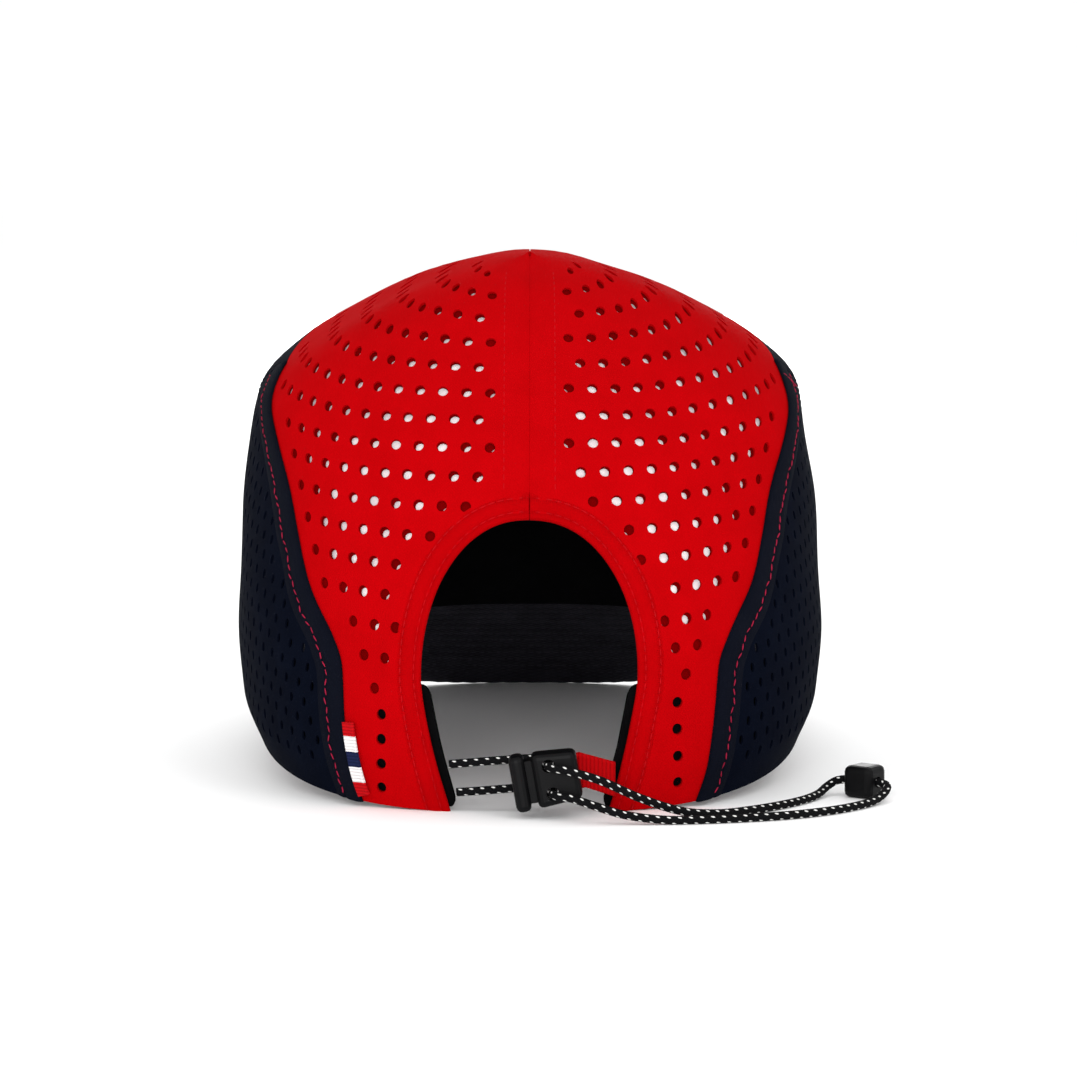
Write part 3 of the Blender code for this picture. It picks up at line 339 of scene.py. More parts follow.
class Pattern:
    """Flat pattern of one part of the crown, drawn for its +X half."""

    height_samples = 400
    girth_samples = 60
    turn_samples = 361
    turn_reach = math.pi

    def __init__(self, crown: Crown, middle: float) -> None:
        """Measures the middle line.

        Args:
            crown: Crown that the pattern is cut for.
            middle: Turn of the pattern's middle line.
        """
        self.crown = crown
        self.middle = middle
        self.heights = np.linspace(0.0, crown.height, self.height_samples)
        line = crown.level_point(np.full(self.height_samples, middle), self.heights)
        steps = np.linalg.norm(np.diff(line, axis=0), axis=1)
        self.lengths = np.concatenate([[0.0], np.cumsum(steps)])

    def up(self, height: np.ndarray) -> np.ndarray:
        """Length up the middle line to a height."""
        return np.interp(height, self.heights, self.lengths)

    def height(self, up: np.ndarray) -> np.ndarray:
        """Height reached by a length up the middle line."""
        return np.interp(up, self.lengths, self.heights)

    def flat(self, turn: np.ndarray, height: np.ndarray) -> np.ndarray:
        """Places on the pattern of turns and heights."""
        turn, height = np.broadcast_arrays(np.asarray(turn, float), np.asarray(height, float))
        shares = np.linspace(0.0, 1.0, self.girth_samples)
        turns = self.middle + (turn[..., None] - self.middle) * shares
        line = self.crown.level_point(turns, np.repeat(height[..., None], self.girth_samples, axis=-1))
        girth = np.linalg.norm(np.diff(line, axis=-2), axis=-1).sum(axis=-1)
        return np.stack([np.copysign(girth, turn - self.middle), self.up(height)], axis=-1)

    def place(self, points: np.ndarray) -> tuple[np.ndarray, np.ndarray]:
        """Turns and heights of places on the pattern."""
        heights = self.height(points[:, 1])
        turns = self.middle + np.linspace(-self.turn_reach, self.turn_reach, self.turn_samples)
        found = np.empty(len(points))
        block = 4000
        for start in range(0, len(points), block):
            part = slice(start, start + block)
            line = self.crown.level_point(turns[None, :], heights[part, None])
            steps = np.linalg.norm(np.diff(line, axis=1), axis=-1)
            girths = np.concatenate([np.zeros((len(steps), 1)), np.cumsum(steps, axis=1)], axis=1)
            girths -= girths[:, [self.turn_samples // 2]]
            found[part] = [np.interp(x, row, turns) for x, row in zip(points[part, 0], girths)]
        return found, heights


# Flat lines


def even_line(points: np.ndarray, spacing: float) -> np.ndarray:
    """The same line with its points about a spacing apart."""
    steps = np.linalg.norm(np.diff(points, axis=0), axis=1)
    along = np.concatenate([[0.0], np.cumsum(steps)])
    wanted = np.linspace(0.0, along[-1], max(2, int(round(along[-1] / spacing)) + 1))
    return np.stack([np.interp(wanted, along, points[:, axis]) for axis in range(points.shape[1])], axis=1)


def tangents(points: np.ndarray) -> np.ndarray:
    """Unit direction of a line at each of its points."""
    ways = np.gradient(points, axis=0)
    return ways / np.linalg.norm(ways, axis=1, keepdims=True)


def shifted(points: np.ndarray, distance: float) -> np.ndarray:
    """A flat line moved to its right by a distance."""
    way = tangents(points)
    return points + distance * np.stack([way[:, 1], -way[:, 0]], axis=1)


def inside_outline(points: np.ndarray, outline: np.ndarray) -> np.ndarray:
    """Which points lie inside a closed flat outline."""
    x, y = points[:, 0], points[:, 1]
    inside = np.zeros(len(points), dtype=bool)
    for (x0, y0), (x1, y1) in zip(outline, np.roll(outline, -1, axis=0)):
        crosses = (y0 > y) != (y1 > y)
        rise = y1 - y0 if y1 != y0 else 1.0
        inside ^= crosses & (x < (x1 - x0) * (y - y0) / rise + x0)
    return inside


def distance_to(points: np.ndarray, line: np.ndarray) -> np.ndarray:
    """Distance from each point to a flat line."""
    starts, span = line[:-1], np.diff(line, axis=0)
    offset = points[:, None, :] - starts[None, :, :]
    share = (offset * span).sum(axis=2) / np.maximum((span**2).sum(axis=1), 1e-18)
    nearest = starts + np.clip(share, 0.0, 1.0)[..., None] * span
    return np.linalg.norm(points[:, None, :] - nearest, axis=2).min(axis=1)


# Work with Blender's operators


class Bench:
    """Modelling steps that all the pieces share."""

    @staticmethod
    def take(made: bpy.types.Object) -> None:
        """Selects one object alone and makes it active."""
        for other in bpy.context.view_layer.objects:
            other.select_set(False)
        made.select_set(True)
        bpy.context.view_layer.objects.active = made

    @staticmethod
    def named(name: str) -> bpy.types.Object:
        """Names the primitive that was just added."""
        made = bpy.context.object
        made.name = name
        made.data.name = name
        return made

    @classmethod
    def grid(cls, name: str, columns: int, rows: int) -> bpy.types.Object:
        """Unit grid from 0 to 1 with a number of points each way."""
        bpy.ops.mesh.primitive_grid_add(x_subdivisions=columns - 1, y_subdivisions=rows - 1, size=1.0)
        made = cls.named(name)
        made.data.transform(Matrix.Translation((0.5, 0.5, 0.0)))
        return made

    @classmethod
    @contextmanager
    def editing(cls, made: bpy.types.Object, everything: bool = True) -> Iterator[None]:
        """Edit mode on one object.

        Args:
            made: Object to edit.
            everything: Selects the whole mesh first.
        """
        cls.take(made)
        bpy.ops.object.mode_set(mode="EDIT")
        if everything:
            bpy.ops.mesh.select_all(action="SELECT")
        try:
            yield
        finally:
            bpy.ops.object.mode_set(mode="OBJECT")

    @classmethod
    def apply(cls, made: bpy.types.Object, kind: str, **settings: object) -> None:
        """Adds a modifier with its settings and applies it."""
        cls.take(made)
        change = made.modifiers.new(kind.title(), kind)
        for name, value in settings.items():
            setattr(change, name, value)
        bpy.ops.object.modifier_apply(modifier=change.name)

    @classmethod
    def boolean(cls, made: bpy.types.Object, cutter: bpy.types.Object, operation: str) -> None:
        """Cuts, joins or trims with another object, which is then removed."""
        cls.apply(made, "BOOLEAN", object=cutter, operation=operation, solver="EXACT")
        bpy.data.objects.remove(cutter, do_unlink=True)

    @classmethod
    def smooth(cls, made: bpy.types.Object, angle: float = 40.0) -> None:
        """Shades smooth, with edges above an angle in degrees left sharp."""
        cls.take(made)
        bpy.ops.object.shade_smooth_by_angle(angle=math.radians(angle))

    @staticmethod
    def points(made: bpy.types.Object) -> np.ndarray:
        """Places of an object's vertices."""
        flat = np.empty(3 * len(made.data.vertices))
        made.data.vertices.foreach_get("co", flat)
        return flat.reshape(-1, 3)

    @staticmethod
    def set_points(made: bpy.types.Object, points: np.ndarray) -> None:
        """Moves an object's vertices."""
        made.data.vertices.foreach_set("co", np.ascontiguousarray(points, dtype=float).ravel())
        made.data.update()

    @staticmethod
    def set_uv(made: bpy.types.Object, places: np.ndarray) -> None:
        """Lays a UV map from one flat place in metres for each vertex."""
        mesh = made.data
        while mesh.uv_layers:
            mesh.uv_layers.remove(mesh.uv_layers[0])
        layer = mesh.uv_layers.new(name=PATTERN_UV)
        corners = np.empty(len(mesh.loops), dtype=np.int32)
        mesh.loops.foreach_get("vertex_index", corners)
        layer.data.foreach_set("uv", (places[corners] * UV_PER_METRE).ravel())

    @classmethod
    def prism(cls, name: str, outline: np.ndarray, low: float, high: float) -> bpy.types.Object:
        """Upright prism over a flat outline.

        Args:
            name: Name of the object.
            outline: Corners of the outline in order.
            low: Height of its floor.
            high: Height of its top.

        Returns:
            The prism, closed.
        """
        bpy.ops.mesh.primitive_circle_add(vertices=len(outline), fill_type="NGON")
        made = cls.named(name)
        cls.set_points(made, np.column_stack([outline, np.full(len(outline), low)]))
        with cls.editing(made):
            bpy.ops.mesh.extrude_region_move(TRANSFORM_OT_translate={"value": (0.0, 0.0, high - low)})
            bpy.ops.mesh.select_all(action="SELECT")
            bpy.ops.mesh.normals_make_consistent(inside=False)
        return made

    @classmethod
    def stamp(cls, name: str, template: bpy.types.Object, origins: np.ndarray,
              axes: np.ndarray) -> bpy.types.Object:
        """One mesh of many copies of a small shape.

        Args:
            name: Name of the new object.
            template: Shape to copy, which is removed.
            origins: Place of each copy.
            axes: Three rows for each copy, the ways its x, y and z axes point.

        Returns:
            The joined copies.
        """
        shape = cls.points(template)
        faces = [tuple(face.vertices) for face in template.data.polygons]
        points = np.einsum("pk,nkj->npj", shape, axes) + origins[:, None, :]
        mesh = bpy.data.meshes.new(name)
        count = len(shape)
        repeated = [tuple(i + copy * count for i in face) for copy in range(len(origins)) for face in faces]
        mesh.from_pydata(points.reshape(-1, 3).tolist(), [], repeated)
        made = bpy.data.objects.new(name, mesh)
        bpy.context.scene.collection.objects.link(made)
        bpy.data.objects.remove(template, do_unlink=True)
        return made

    @classmethod
    def sheet(cls, name: str, columns: int, rows: int, place: Places,
              closed: bool = False) -> bpy.types.Object:
        """Grid whose points are put where a function says.

        Args:
            name: Name of the object.
            columns: Points across.
            rows: Points up.
            place: Gives world places for shares across and up.
            closed: Joins the last row to the first and fills both ends.

        Returns:
            The sheet, or the closed tube.
        """
        made = cls.grid(name, columns, rows)
        shares = cls.points(made)
        around = shares[:, 1] % 1.0 if closed else shares[:, 1]
        cls.set_points(made, place(shares[:, 0], around))
        cls.set_uv(made, shares[:, :2] / UV_PER_METRE)
        if closed:
            cls.close(made)
        return made

    @classmethod
    def close(cls, made: bpy.types.Object) -> None:
        """Joins the touching edges of a rolled grid and fills both of its ends."""
        with cls.editing(made):
            bpy.ops.mesh.remove_doubles(threshold=WELD)
            bpy.ops.mesh.select_all(action="DESELECT")
            bpy.ops.mesh.select_non_manifold()
            bpy.ops.mesh.fill_holes(sides=0)
            bpy.ops.mesh.select_all(action="SELECT")
            bpy.ops.mesh.normals_make_consistent(inside=False)


# Finishes


class Graph:
    """Short way to add nodes and links to one node tree."""

    def __init__(self, tree: bpy.types.NodeTree) -> None:
        """Takes the tree to work on."""
        self.tree = tree

    def add(self, kind: str, settings: dict[str, object] | None = None, **sockets: object) -> bpy.types.Node:
        """Adds a node.

        Args:
            kind: Blender's type name of the node, without its prefix.
            settings: Properties of the node.
            **sockets: Input values or sockets to link, by the input's name with _ for a space.

        Returns:
            The node.
        """
        node = self.tree.nodes.new("ShaderNode" + kind)
        for name, value in (settings or {}).items():
            setattr(node, name, value)
        for name, value in sockets.items():
            self.feed(node.inputs[name.replace("_", " ")], value)
        return node

    def feed(self, socket: bpy.types.NodeSocket, value: object) -> None:
        """Links a socket, or sets its value."""
        if isinstance(value, bpy.types.NodeSocket):
            self.tree.links.new(value, socket)
        else:
            socket.default_value = value

    def maths(self, operation: str, *values: object) -> bpy.types.NodeSocket:
        """Result of a Math node."""
        node = self.tree.nodes.new("ShaderNodeMath")
        node.operation = operation
        for socket, value in zip(node.inputs, values):
            self.feed(socket, value)
        return node.outputs[0]

    def mix(self, share: object, first: object, second: object) -> bpy.types.NodeSocket:
        """Colour between two colours."""
        node = self.tree.nodes.new("ShaderNodeMix")
        node.data_type = "RGBA"
        self.feed(node.inputs[0], share)
        self.feed(node.inputs[6], first)
        self.feed(node.inputs[7], second)
        return node.outputs[2]

    def vary(self, value: object, low: float, high: float) -> bpy.types.NodeSocket:
        """Value from 0 to 1 spread from low to high."""
        node = self.add("MapRange", Value=value)
        node.inputs["To Min"].default_value = low
        node.inputs["To Max"].default_value = high
        return node.outputs["Result"]


class Effect(Enum):
    """Shader node groups that the finishes share."""

    WEAVE = "weave"
    MOTTLE = "mottle"
    RIBS = "ribs"
    GRAIN = "moulded grain"


class EffectGroups:
    """Builds each shared effect once."""

    built: dict[Effect, bpy.types.NodeTree] = {}

    @classmethod
    def get(cls, effect: Effect) -> bpy.types.NodeTree:
        """The node group of an effect, built on first use."""
        if effect not in cls.built:
            makers = {Effect.WEAVE: cls.weave, Effect.MOTTLE: cls.mottle, Effect.RIBS: cls.ribs,
                      Effect.GRAIN: cls.grain}
            cls.built[effect] = makers[effect]()
        return cls.built[effect]

    @classmethod
    def put(cls, graph: Graph, effect: Effect, **sockets: object) -> bpy.types.Node:
        """Places an effect in a material with its own values."""
        node = graph.tree.nodes.new("ShaderNodeGroup")
        node.node_tree = cls.get(effect)
        for name, value in sockets.items():
            graph.feed(node.inputs[name.replace("_", " ")], value)
        return node

    @staticmethod
    def start(name: str, inputs: dict[str, str], outputs: Sequence[str]) -> tuple[Graph, dict, dict]:
        """New group with its sockets.

        Args:
            name: Name of the group.
            inputs: Socket type for each input's name.
            outputs: Names of the outputs, which are numbers.

        Returns:
            The group's graph, its input sockets and its output sockets, by name.
        """
        tree = bpy.data.node_groups.new(name, "ShaderNodeTree")
        for socket, kind in inputs.items():
            tree.interface.new_socket(name=socket, in_out="INPUT", socket_type=kind)
        for socket in outputs:
            tree.interface.new_socket(name=socket, in_out="OUTPUT", socket_type="NodeSocketFloat")
        source = tree.nodes.new("NodeGroupInput")
        result = tree.nodes.new("NodeGroupOutput")
        return Graph(tree), source.outputs, result.inputs

    @classmethod
    def weave(cls) -> bpy.types.NodeTree:
        """Plain weave: threads that pass over and under each other."""
        graph, source, result = cls.start(
            "Weave", {"Vector": "NodeSocketVector", "Threads": "NodeSocketFloat"}, ("Height", "Thread"))
        scaled = graph.add("VectorMath", {"operation": "SCALE"}, Vector=source["Vector"],
                           Scale=source["Threads"]).outputs["Vector"]
        parts = graph.add("SeparateXYZ", Vector=scaled).outputs
        turns = 2.0 * math.pi
        across = graph.maths("SINE", graph.maths("MULTIPLY", parts["X"], turns))
        along = graph.maths("SINE", graph.maths("MULTIPLY", parts["Y"], turns))
        crossing = graph.maths("MULTIPLY", across, along)
        height = graph.maths("MULTIPLY_ADD", crossing, 0.5, 0.5)
        graph.feed(result["Height"], height)
        # Thread is low where the weave sinks; the cloths darken their colour there with it, as painted shade.
        graph.feed(result["Thread"], graph.maths("POWER", height, 2.0))
        return graph.tree

    @classmethod
    def mottle(cls) -> bpy.types.NodeTree:
        """Soft uneven patches of light and dark."""
        graph, source, result = cls.start(
            "Mottle", {"Vector": "NodeSocketVector", "Size": "NodeSocketFloat", "Detail": "NodeSocketFloat"},
            ("Patches", "Height"))
        scale = graph.maths("DIVIDE", 1.0, source["Size"])
        noise = graph.add("TexNoise", Vector=source["Vector"], Scale=scale, Detail=source["Detail"],
                          Roughness=0.6)
        spread = graph.add("MapRange", {"interpolation_type": "SMOOTHSTEP"}, Value=noise.outputs[0])
        spread.inputs["From Min"].default_value = 0.3
        spread.inputs["From Max"].default_value = 0.7
        graph.feed(result["Patches"], spread.outputs["Result"])
        graph.feed(result["Height"], noise.outputs[0])
        return graph.tree

    @classmethod
    def ribs(cls) -> bpy.types.NodeTree:
        """Ribs across a ribbon."""
        graph, source, result = cls.start(
            "Ribs", {"Place": "NodeSocketFloat", "Pitch": "NodeSocketFloat"}, ("Height",))
        phase = graph.maths("MULTIPLY", graph.maths("DIVIDE", source["Place"], source["Pitch"]), math.pi)
        graph.feed(result["Height"], graph.maths("ABSOLUTE", graph.maths("SINE", phase)))
        return graph.tree

    @classmethod
    def grain(cls) -> bpy.types.NodeTree:
        """Fine grain of a moulded face, with a few faint rubs."""
        graph, source, result = cls.start(
            "Moulded grain", {"Vector": "NodeSocketVector", "Size": "NodeSocketFloat"}, ("Height", "Rub"))
        scale = graph.maths("DIVIDE", 1.0, source["Size"])
        fine = graph.add("TexNoise", Vector=source["Vector"], Scale=scale, Detail=2.0)
        broad = graph.maths("DIVIDE", scale, 12.0)
        wide = graph.add("TexNoise", Vector=source["Vector"], Scale=broad, Detail=5.0)
        graph.feed(result["Height"], fine.outputs[0])
        graph.feed(result["Rub"], wide.outputs[0])
        return graph.tree


@dataclass(frozen=True)
class Cloth:
    """Woven or knitted cloth, read from the piece's own pattern map."""

    name: str
    light: Colour
    dark: Colour
    roughness: float = 0.9
    specular: float = 0.12
    sheen: float = 0.0
    thread: float = 0.45 * MM
    thread_depth: float = 0.05 * MM
    patch: float = 9.0 * MM
    crumple: float = 0.10 * MM

    def build(self) -> bpy.types.Material:
        """Makes the material."""
        made = bpy.data.materials.new(self.name)
        made.use_nodes = True
        graph = Graph(made.node_tree)
        shader = made.node_tree.nodes["Principled BSDF"]
        flat = graph.add("UVMap", {"uv_map": PATTERN_UV}).outputs["UV"]
        solid = graph.add("TexCoord").outputs["Object"]
        weave = EffectGroups.put(graph, Effect.WEAVE, Vector=flat,
                                 Threads=1.0 / (2.0 * self.thread * UV_PER_METRE))
        mottle = EffectGroups.put(graph, Effect.MOTTLE, Vector=solid, Size=self.patch, Detail=4.0)
        # Colour goes towards the dark colour where the weave sinks, painted shade between the threads, and in
        # the mottle's darker patches, which are uneven tone.
        share = graph.maths("MULTIPLY_ADD", weave.outputs["Thread"], 0.35,
                            graph.maths("MULTIPLY", mottle.outputs["Patches"], 0.65))
        colour = graph.mix(share, (*self.dark, 1.0), (*self.light, 1.0))
        graph.feed(shader.inputs["Base Color"], colour)
        graph.feed(shader.inputs["Roughness"],
                   graph.vary(weave.outputs["Height"], self.roughness, min(1.0, self.roughness + 0.08)))
        shader.inputs["Specular IOR Level"].default_value = self.specular
        shader.inputs["Sheen Weight"].default_value = self.sheen
        height = graph.maths("MULTIPLY_ADD", weave.outputs["Height"], self.thread_depth,
                             graph.maths("MULTIPLY", mottle.outputs["Height"], self.crumple))
        bump = graph.add("Bump", Height=height, Strength=1.0, Distance=1.0)
        graph.feed(shader.inputs["Normal"], bump.outputs["Normal"])
        return made


@dataclass(frozen=True)
class Lining:
    """White layer behind the holes. Its glow is painted light, standing in for the light that comes through
    the cloth of the front.
    """

    name: str
    white: Colour
    shade: Colour
    patch: float = 5.0 * MM
    painted_glow: float = 0.30

    def build(self) -> bpy.types.Material:
        """Makes the material."""
        made = bpy.data.materials.new(self.name)
        made.use_nodes = True
        graph = Graph(made.node_tree)
        shader = made.node_tree.nodes["Principled BSDF"]
        solid = graph.add("TexCoord").outputs["Object"]
        mottle = EffectGroups.put(graph, Effect.MOTTLE, Vector=solid, Size=self.patch, Detail=2.0)
        colour = graph.mix(mottle.outputs["Patches"], (*self.shade, 1.0), (*self.white, 1.0))
        graph.feed(shader.inputs["Base Color"], colour)
        # Emission of its own colour: painted light on a layer that is no lamp.
        graph.feed(shader.inputs["Emission Color"], colour)
        shader.inputs["Emission Strength"].default_value = self.painted_glow
        shader.inputs["Roughness"].default_value = 0.9
        shader.inputs["Specular IOR Level"].default_value = 0.1
        return made


@dataclass(frozen=True)
class Ribbon:
    """Ribbed ribbon, plain or with stripes one above the other."""

    name: str
    stripes: tuple[Colour, ...]
    bottom: float = 0.0
    top: float = 1.0
    rib_axis: str = "X"
    ribs: float = 1.1 * MM
    roughness: float = 0.75

    def build(self) -> bpy.types.Material:
        """Makes the material."""
        made = bpy.data.materials.new(self.name)
        made.use_nodes = True
        graph = Graph(made.node_tree)
        shader = made.node_tree.nodes["Principled BSDF"]
        solid = graph.add("TexCoord").outputs["Object"]
        parts = graph.add("SeparateXYZ", Vector=solid).outputs
        ribs = EffectGroups.put(graph, Effect.RIBS, Place=parts[self.rib_axis], Pitch=self.ribs)
        above = graph.maths("SUBTRACT", parts["Z"], self.bottom)
        ramp = graph.add("ValToRGB", Fac=graph.maths("DIVIDE", above, self.top - self.bottom))
        ramp.color_ramp.interpolation = "CONSTANT"
        steps = ramp.color_ramp.elements
        while len(steps) < len(self.stripes):
            steps.new(0.5)
        while len(steps) > len(self.stripes):
            steps.remove(steps[-1])
        for index, (step, colour) in enumerate(zip(steps, self.stripes)):
            step.position = index / len(self.stripes)
            step.color = (*colour, 1.0)
        shade = graph.vary(ribs.outputs["Height"], 0.72, 1.0)
        dimmed = graph.add("MixRGB", {"blend_type": "MULTIPLY"}, Fac=1.0, Color1=ramp.outputs["Color"])
        graph.feed(dimmed.inputs["Color2"], shade)
        graph.feed(shader.inputs["Base Color"], dimmed.outputs["Color"])
        shader.inputs["Roughness"].default_value = self.roughness
        shader.inputs["Specular IOR Level"].default_value = 0.04
        bump = graph.add("Bump", Strength=0.8, Distance=0.2 * MM, Height=ribs.outputs["Height"])
        graph.feed(shader.inputs["Normal"], bump.outputs["Normal"])
        return made


@dataclass(frozen=True)
class Moulded:
    """Moulded plastic with a fine grain."""

    name: str
    colour: Colour
    roughness: float = 0.38
    grain: float = 0.25 * MM

    def build(self) -> bpy.types.Material:
        """Makes the material."""
        made = bpy.data.materials.new(self.name)
        made.use_nodes = True
        graph = Graph(made.node_tree)
        shader = made.node_tree.nodes["Principled BSDF"]
        solid = graph.add("TexCoord").outputs["Object"]
        grain = EffectGroups.put(graph, Effect.GRAIN, Vector=solid, Size=self.grain)
        lighter = tuple(1.6 * part for part in self.colour)
        graph.feed(shader.inputs["Base Color"],
                   graph.mix(grain.outputs["Rub"], (*self.colour, 1.0), (*lighter, 1.0)))
        graph.feed(shader.inputs["Roughness"],
                   graph.vary(grain.outputs["Rub"], self.roughness - 0.06, self.roughness + 0.14))
        shader.inputs["Specular IOR Level"].default_value = 0.09
        bump = graph.add("Bump", Strength=0.25, Distance=0.05 * MM, Height=grain.outputs["Height"])
        graph.feed(shader.inputs["Normal"], bump.outputs["Normal"])
        return made


@dataclass(frozen=True)
class Braid:
    """Braided cover of the elastic cord: black yarn with rows of white flecks.

    The pattern map's first axis runs along the cord and its second axis round it.
    """

    name: str
    yarn: Colour
    fleck: Colour
    fleck_pitch: float = 3.0 * MM
    fleck_length: float = 0.48 * MM
    fleck_width: float = 0.30 * MM
    slant: float = 0.5
    rows: int = 4
    girth: float = 7.54 * MM

    def build(self) -> bpy.types.Material:
        """Makes the material."""
        made = bpy.data.materials.new(self.name)
        made.use_nodes = True
        graph = Graph(made.node_tree)
        shader = made.node_tree.nodes["Principled BSDF"]
        flat = graph.add("UVMap", {"uv_map": PATTERN_UV}).outputs["UV"]
        parts = graph.add("SeparateXYZ", Vector=flat).outputs
        along = graph.maths("DIVIDE", parts["X"], self.fleck_pitch * UV_PER_METRE)
        around = graph.maths("DIVIDE", parts["Y"], self.girth / self.rows * UV_PER_METRE)
        row = graph.maths("FLOOR", around)
        stagger = graph.maths("MULTIPLY", graph.maths("MODULO", row, 2.0), 0.5)
        x = graph.maths("SUBTRACT", graph.maths("FRACT", graph.maths("ADD", along, stagger)), 0.5)
        y = graph.maths("SUBTRACT", graph.maths("FRACT", around), 0.5)
        dy = graph.maths("MULTIPLY", y, self.girth / self.rows / self.fleck_width)
        dx = graph.maths("MULTIPLY_ADD", dy, self.slant,
                         graph.maths("MULTIPLY", x, self.fleck_pitch / self.fleck_length))
        apart = graph.maths("SQRT", graph.maths("ADD", graph.maths("MULTIPLY", dx, dx),
                                                graph.maths("MULTIPLY", dy, dy)))
        mask = graph.add("MapRange", Value=apart)
        mask.inputs["From Min"].default_value = 1.15
        mask.inputs["From Max"].default_value = 0.85
        weave = EffectGroups.put(graph, Effect.WEAVE, Vector=flat, Threads=1.0 / (1.1 * MM * UV_PER_METRE))
        shaded = [0.4 * part for part in self.yarn]
        yarn = graph.mix(weave.outputs["Thread"], (*shaded, 1.0), (*self.yarn, 1.0))
        graph.feed(shader.inputs["Base Color"],
                   graph.mix(mask.outputs["Result"], yarn, (*self.fleck, 1.0)))
        shader.inputs["Roughness"].default_value = 0.8
        shader.inputs["Specular IOR Level"].default_value = 0.06
        bump = graph.add("Bump", Strength=0.8, Distance=0.12 * MM, Height=weave.outputs["Height"])
        graph.feed(shader.inputs["Normal"], bump.outputs["Normal"])
        return made


class Finishes:
    """The cap's materials, each built once."""

    def __init__(self) -> None:
        """Builds the materials."""
        # Each cloth's second colour serves as painted shade between its threads and as its darker patches.
        red = (0.385, 0.0003, 0.0017)
        deep_red = (0.345, 0.0002, 0.0013)
        navy = (0.0014, 0.0027, 0.0078)
        deep_navy = (0.0008, 0.0016, 0.0052)
        white = (0.80, 0.77, 0.77)
        self.red = Cloth("red_cloth", red, deep_red, specular=0.015).build()
        self.navy = Cloth("navy_cloth", navy, deep_navy, specular=0.03).build()
        # Lighter copy of the navy cloth for its own folded edges: painted light on the raised fold.
        self.navy_lit_fold = Cloth("navy_lit_fold", (0.0032, 0.0040, 0.0086), (0.0022, 0.0030, 0.0070),
                               specular=0.04).build()
        self.black = Cloth("black_cloth", (0.0026, 0.0026, 0.0030), (0.0014, 0.0014, 0.0017), specular=0.03,
                           thread=0.8 * MM).build()
        # Near-black inner face of the front panel: painted shade of the crown's hollow.
        self.inside = Cloth("inside_painted_shade", (0.0008, 0.0008, 0.0009), (0.0005, 0.0005, 0.0006),
                            specular=0.0).build()
        self.brim_under = Cloth("brim_under", (0.019, 0.018, 0.025), (0.010, 0.009, 0.013), specular=0.10,
                                thread=0.7 * MM, thread_depth=0.15 * MM).build()
        # Darker red of the backing, which shows in the holes as painted shadow of their walls.
        self.backing = Cloth("red_backing", (0.150, 0.0004, 0.0008), (0.110, 0.0003, 0.0006),
                             specular=0.0).build()
        self.lining = Lining("white_lining", white, (0.62, 0.56, 0.58)).build()
        self.red_thread = Cloth("red_thread", (0.44, 0.002, 0.005), (0.33, 0.001, 0.003),
                                specular=0.1).build()
        self.seam_thread = Cloth("seam_thread", (0.36, 0.012, 0.045), (0.24, 0.008, 0.03),
                                 specular=0.1).build()
        self.dark_thread = Cloth("dark_thread", (0.0035, 0.0045, 0.0095), (0.002, 0.003, 0.006),
                                 specular=0.04).build()
        self.under_thread = Cloth("under_thread", (0.034, 0.033, 0.042), (0.020, 0.019, 0.026)).build()
        self.ribbon = Ribbon("red_ribbon", ((0.38, 0.0004, 0.0018),)).build()
        low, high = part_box("striped_tab")
        bands = ((0.44, 0.003, 0.006), white, (0.01, 0.014, 0.05), white, (0.44, 0.003, 0.006))
        self.stripes = Ribbon("striped_ribbon", bands, bottom=low[2], top=high[2], rib_axis="Z",
                              ribs=0.9 * MM).build()
        self.plastic = Moulded("black_plastic", (0.0018, 0.0018, 0.0021)).build()
        self.braid = Braid("elastic_braid", (0.0055, 0.0055, 0.0065), (0.62, 0.62, 0.60)).build()


# Pieces


@dataclass
class Kit:
    """What every sub-assembly works with."""

    crown: Crown
    finishes: Finishes

    def world(self, places: np.ndarray) -> np.ndarray:
        """Places in millimetres round the middle of the crown, in the frame."""
        return np.asarray(places, float) * MM + np.array([0.0, self.crown.middle, 0.0])

    @staticmethod
    def hand_over(made: bpy.types.Object, finish: bpy.types.Material, slot: str, body: Body = Body.CAP,
                  replaced: Sequence[str] = ()) -> bpy.types.Object:
        """Dresses a piece and hands it to the frame.

        Args:
            made: The finished piece.
            finish: Its material.
            slot: Not used.
            body: Body that it rides on.
            replaced: Nodes of the frame that it stands for.

        Returns:
            The same piece.
        """
        if not made.data.materials:
            made.data.materials.append(finish)
        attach(made, body.value)
        if replaced:
            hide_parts(*replaced)
        log.info("%s: %d points on %s", made.name, len(getattr(made.data, "vertices", ())), body.value)
        return made


def off_the_floor(points: np.ndarray) -> np.ndarray:
    """Places with nothing below the floor."""
    points = points.copy()
    points[:, 2] = np.maximum(points[:, 2], 0.0)
    return points


@dataclass(frozen=True)
class HoleBand:
    """Rows of perforations on one rear panel: close rows on the arm, wider rows above."""

    first: float
    arm_pitch: float
    arm_rows: int
    single_rows: int
    pitch: float = 8.75 * MM

    def rows(self, end: float) -> np.ndarray:
        """Lengths up the pattern at which the rows lie."""
        arm = self.first + self.arm_pitch * np.arange(self.arm_rows)
        above = np.arange(arm[-1] + self.pitch, end, self.pitch)
        return np.concatenate([arm, above])


@dataclass(frozen=True)
class Creep:
    """How far and which way the holes of the darker red backing are moved off the panel's holes. The dark
    crescents that this leaves in the holes are painted shadow of the hole walls; near the panel's edges and
    towards the top the backing shuts the holes.
    """

    reach: float = 0.75 * MM
    drift: float = 0.50 * MM
    drift_across: float = 9.0 * MM
    drift_up: float = 13.0 * MM
    jitter: float = 0.35 * MM
    jitter_step: float = 41.0
    seam_reach: float = 1.9 * MM
    seam_near: float = 9.0 * MM
    seam_far: float = 14.0 * MM
    top_reach: float = 0.7 * MM
    top_low: float = 118.0 * MM
    top_high: float = 145.0 * MM
    way: float = math.radians(205.0)
    sway: float = 0.35
    sway_length: float = 17.0 * MM


